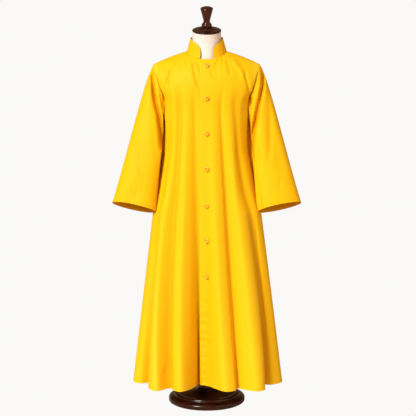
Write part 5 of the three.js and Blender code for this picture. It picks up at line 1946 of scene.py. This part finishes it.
@dataclass
class DressForm:
    """Padded body and neck, turned cap, finial, post and base."""

    segments: int = 96
    neck_lean: float = 0.287
    neck_top: tuple[float, float] = (-20, 1526.7)
    neck_front: tuple[tuple[float, float], ...] = (
        (1340, -60),
        (1370, -62),
        (1400, -66),
        (1425, -66),
        (1450, -65.5),
        (1475, -67.5),
        (1500, -72),
        (1526, -77.5),
    )
    neck_half: float = 57
    neck_middle: float = -14
    pad_low: Ramp = Ramp(0, 40)
    pad_high: Ramp = Ramp(2, 10)
    pad_fore: Ramp = Ramp(0, 12)
    cap_rise: float = 0.3
    finial_rise: float = 13.6
    post_radius: float = 16
    base_profile: tuple[tuple[float, float, float], ...] = (
        (154, 0, 0),
        (158.4, 2.6, 3),
        (158.5, 17.5, 6),
        (153, 23.5, 5),
        (140, 26.5, 3),
        (136.6, 28.6, 1.6),
        (135.4, 33.5, 1.2),
        (133.4, 37.6, 3),
        (126, 38.4, 3),
        (117, 37.2, 6),
        (70, 42, 12),
        (44, 46, 6),
        (40.5, 47, 1),
        (40.5, 52, 2.4),
        (36.5, 54.5, 2),
        (33.6, 56.5, 1.5),
        (33, 72, 2),
        (34.6, 75.5, 1.8),
        (31, 79.9, 2),
        (20, 80, 0),
    )
    cap_profile: tuple[tuple[float, float, float], ...] = (
        (56.4, 0, 0),
        (58.4, 0.6, 0.6),
        (58.6, 3.2, 1.6),
        (55.5, 6.2, 2),
        (44, 8.6, 5),
        (36, 9.4, 1.2),
        (34, 12.2, 1.4),
        (28, 15.6, 4),
        (22, 17, 2),
        (16, 17, 0),
    )
    finial_profile: tuple[tuple[float, float, float], ...] = (
        (17.4, 0, 0),
        (18.2, 1.2, 0.8),
        (20.9, 8, 5),
        (20.2, 14.5, 6),
        (14.4, 21.5, 4),
        (12.6, 26.5, 3),
        (13.4, 31.5, 3),
        (24.9, 75, 1.6),
        (25.6, 77.2, 1.6),
        (23.6, 81, 3),
        (14, 85.2, 6),
        (2, 86.4, 0),
    )

    def neck_place(self, rise: float) -> Matrix:
        """Where a piece on the neck's leaning top stands, a rise above it."""
        tilt = math.atan(self.neck_lean)
        lift = Vector((0, -math.sin(tilt) * rise, math.cos(tilt) * rise))
        foot = Vector((0, self.neck_top[0], self.neck_top[1])) + lift
        return Matrix.Translation(foot) @ Matrix.Rotation(tilt, 4, "X")

    def pad_neck(self, mesh: bpy.types.Mesh) -> None:
        """Fills the neck out in front to one smooth column that runs on behind the neckline.

        Args:
            mesh: the form's finely divided skin.
        """
        heights, fronts = np.array(self.neck_front, float).T
        places = np.empty(len(mesh.vertices) * 3)
        mesh.vertices.foreach_get("co", places)
        places = places.reshape(-1, 3) / MM
        x, y, z = places.T
        front = np.interp(z, heights, fronts)
        across = np.clip(np.abs(x) / self.neck_half, 0, 1)
        middle = self.neck_middle
        skin = middle + (front - middle) * np.sqrt(1 - across**2)
        rise = self.pad_low.at(z - heights[0]) * self.pad_high.at(heights[-1] - z)
        forward = np.maximum(0, y - skin) * rise * self.pad_fore.at(middle - y)
        places[:, 1] = y - forward
        mesh.vertices.foreach_set("co", (places * MM).ravel())
        mesh.update()

    def turn(
        self,
        shop: Workshop,
        node: str,
        profile: Sequence[tuple[float, float, float]],
        place: Matrix,
        wood: bpy.types.Material,
    ) -> None:
        """Turns one wooden piece that stands for its node.

        Args:
            shop: the finishes.
            node: the node that it replaces.
            profile: (radius, height, rounding) triples from the bottom up.
            place: where it stands.
            wood: its material.
        """
        mesh = turned_mesh(rounded(profile), self.segments, place)
        piece = shop.dress(finished(mesh, f"turned_{node}", sharp_from=60), wood)
        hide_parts(node)

    def build(self, shop: Workshop, frame: dict) -> None:
        """Makes every piece of the form."""
        padded = smooth_copy(
            frame["nodes"]["form"], "jersey_form", levels=3, crease_from=60, sharp_from=50
        )
        self.pad_neck(padded.data)
        shop.dress(padded, shop.jersey)
        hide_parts("form")
        floor, plate, spindle = Matrix.Identity(4), shop.plate_wood, shop.spindle_wood
        self.turn(shop, "base", self.base_profile, floor, plate)
        self.turn(shop, "neck_cap", self.cap_profile, self.neck_place(self.cap_rise), plate)
        self.turn(shop, "finial", self.finial_profile, self.neck_place(self.finial_rise), spindle)
        low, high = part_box("post")
        bottom, top, wide = low.z / MM, high.z / MM, self.post_radius
        narrow, bevel, rounding = wide - 0.6, 1, 0.8
        low_edge = ((narrow, bottom, 0), (wide, bottom + bevel, rounding))
        high_edge = ((wide, top - bevel, rounding), (narrow, top, 0))
        self.turn(shop, "post", low_edge + high_edge, floor, spindle)


# ---- Studio ----
@dataclass(frozen=True)
class SoftLight:
    """A broad soft light, by its turn to the left of the front and its height, in degrees."""

    name: str
    left: float
    up: float
    spread: float
    strength: float
    tint: tuple[float, float, float] = (1.0, 1.0, 1.0)
    distance: float = 4

    def hang(self) -> None:
        """Adds the light, pointing at the part."""
        data = bpy.data.lights.new(self.name, "SUN")
        data.energy, data.angle = self.strength, math.radians(self.spread)
        data.color = self.tint
        lamp = bpy.data.objects.new(self.name, data)
        turn, up = math.radians(self.left), math.radians(self.up)
        away = Vector((-math.sin(turn) * math.cos(up), -math.cos(turn) * math.cos(up), math.sin(up)))
        lamp.location = away * self.distance
        lamp.rotation_euler = away.to_track_quat("Z", "Y").to_euler()
        bpy.context.scene.collection.objects.link(lamp)


@dataclass
class Studio:
    """Pale floor, soft light and the camera."""

    camera_place: Point = (5.08, -4700, 1430)
    pitch: float = 7.513947
    lens: float = 100.06
    sensor: float = 36.0
    pale: Colour = (1.0, 0.993, 0.978, 1)
    pale_strength: float = 0.955
    floor_share: tuple[float, float, float] = (0.8, 0.62, 0.46)
    warm: Colour = (1.0, 0.6, 0.36, 1)
    world_strength: float = 0.31
    lights: tuple[SoftLight, ...] = (
        SoftLight("Key", 33, 31, 18, 3.95),
        SoftLight("Fill", -55, 18, 50, 0.6, (1.0, 0.85, 0.62)),
    )

    def camera(self) -> None:
        """Creates the camera and makes it the scene's."""
        data = bpy.data.cameras.new("Camera")
        data.lens, data.sensor_width = self.lens, self.sensor
        data.clip_end = 200
        camera = bpy.data.objects.new("Camera", data)
        camera.location = Vector(self.camera_place) * MM
        camera.rotation_euler = (math.radians(90 - self.pitch), 0, 0)
        bpy.context.scene.collection.objects.link(camera)
        bpy.context.scene.camera = camera

    def floor(self) -> None:
        """Makes a wide floor that looks as pale as the room behind it."""
        half = 60.0
        mesh = bpy.data.meshes.new("floor")
        corners = [(-half, -half, 0), (half, -half, 0), (half, half, 0), (-half, half, 0)]
        mesh.from_pydata(corners, [], [(0, 1, 2, 3)])
        floor = linked(mesh, "floor")
        material, bench, shader = principled("Pale floor")
        lit, black = (*self.floor_share, 1), (0, 0, 0, 1)
        shader.inputs["Roughness"].default_value = 1.0
        shader.inputs["Specular IOR Level"].default_value = 0.0
        shader.inputs["Emission Color"].default_value = self.pale
        seen = bench.add("ShaderNodeLightPath").outputs["Is Camera Ray"]
        bench.join(bench.mix(seen, lit, black), shader.inputs["Base Color"])
        glow = bench.maths("MULTIPLY", seen, self.pale_strength)
        bench.join(glow, shader.inputs["Emission Strength"])
        mesh.materials.append(material)

    def world(self) -> None:
        """Lights the whole scene evenly and shows a pale room."""
        world = bpy.data.worlds.new("Studio")
        world.use_nodes = True
        bench = NodeBench(world.node_tree)
        background = world.node_tree.nodes["Background"]
        seen = bench.add("ShaderNodeLightPath").outputs["Is Camera Ray"]
        bench.join(bench.mix(seen, self.warm, self.pale), background.inputs["Color"])
        strength = bench.add(
            "ShaderNodeMapRange", {"To Min": self.world_strength, "To Max": self.pale_strength}
        )
        bench.join(seen, strength.inputs["Value"])
        bench.join(strength.outputs["Result"], background.inputs["Strength"])
        bpy.context.scene.world = world

    def build(self) -> None:
        """Sets up the floor, the lights and the camera."""
        self.camera()
        self.floor()
        self.world()
        for light in self.lights:
            light.hang()
        settings = bpy.context.scene.view_settings
        settings.view_transform = "Standard"
        settings.look = "None"


def main() -> None:
    """Builds the dressed cassock around its frame."""
    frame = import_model()
    Studio().build()
    shop = Workshop.open()
    surface = BodyCloth()
    BodyPanels(surface).build(shop)
    for side in Side:
        Sleeve(side, surface).build(shop)
    Collar(surface).build(shop)
    Buttons().build(shop, frame)
    DressForm().build(shop, frame)
    bpy.context.view_layer.update()


if __name__ == "__main__":
    main()
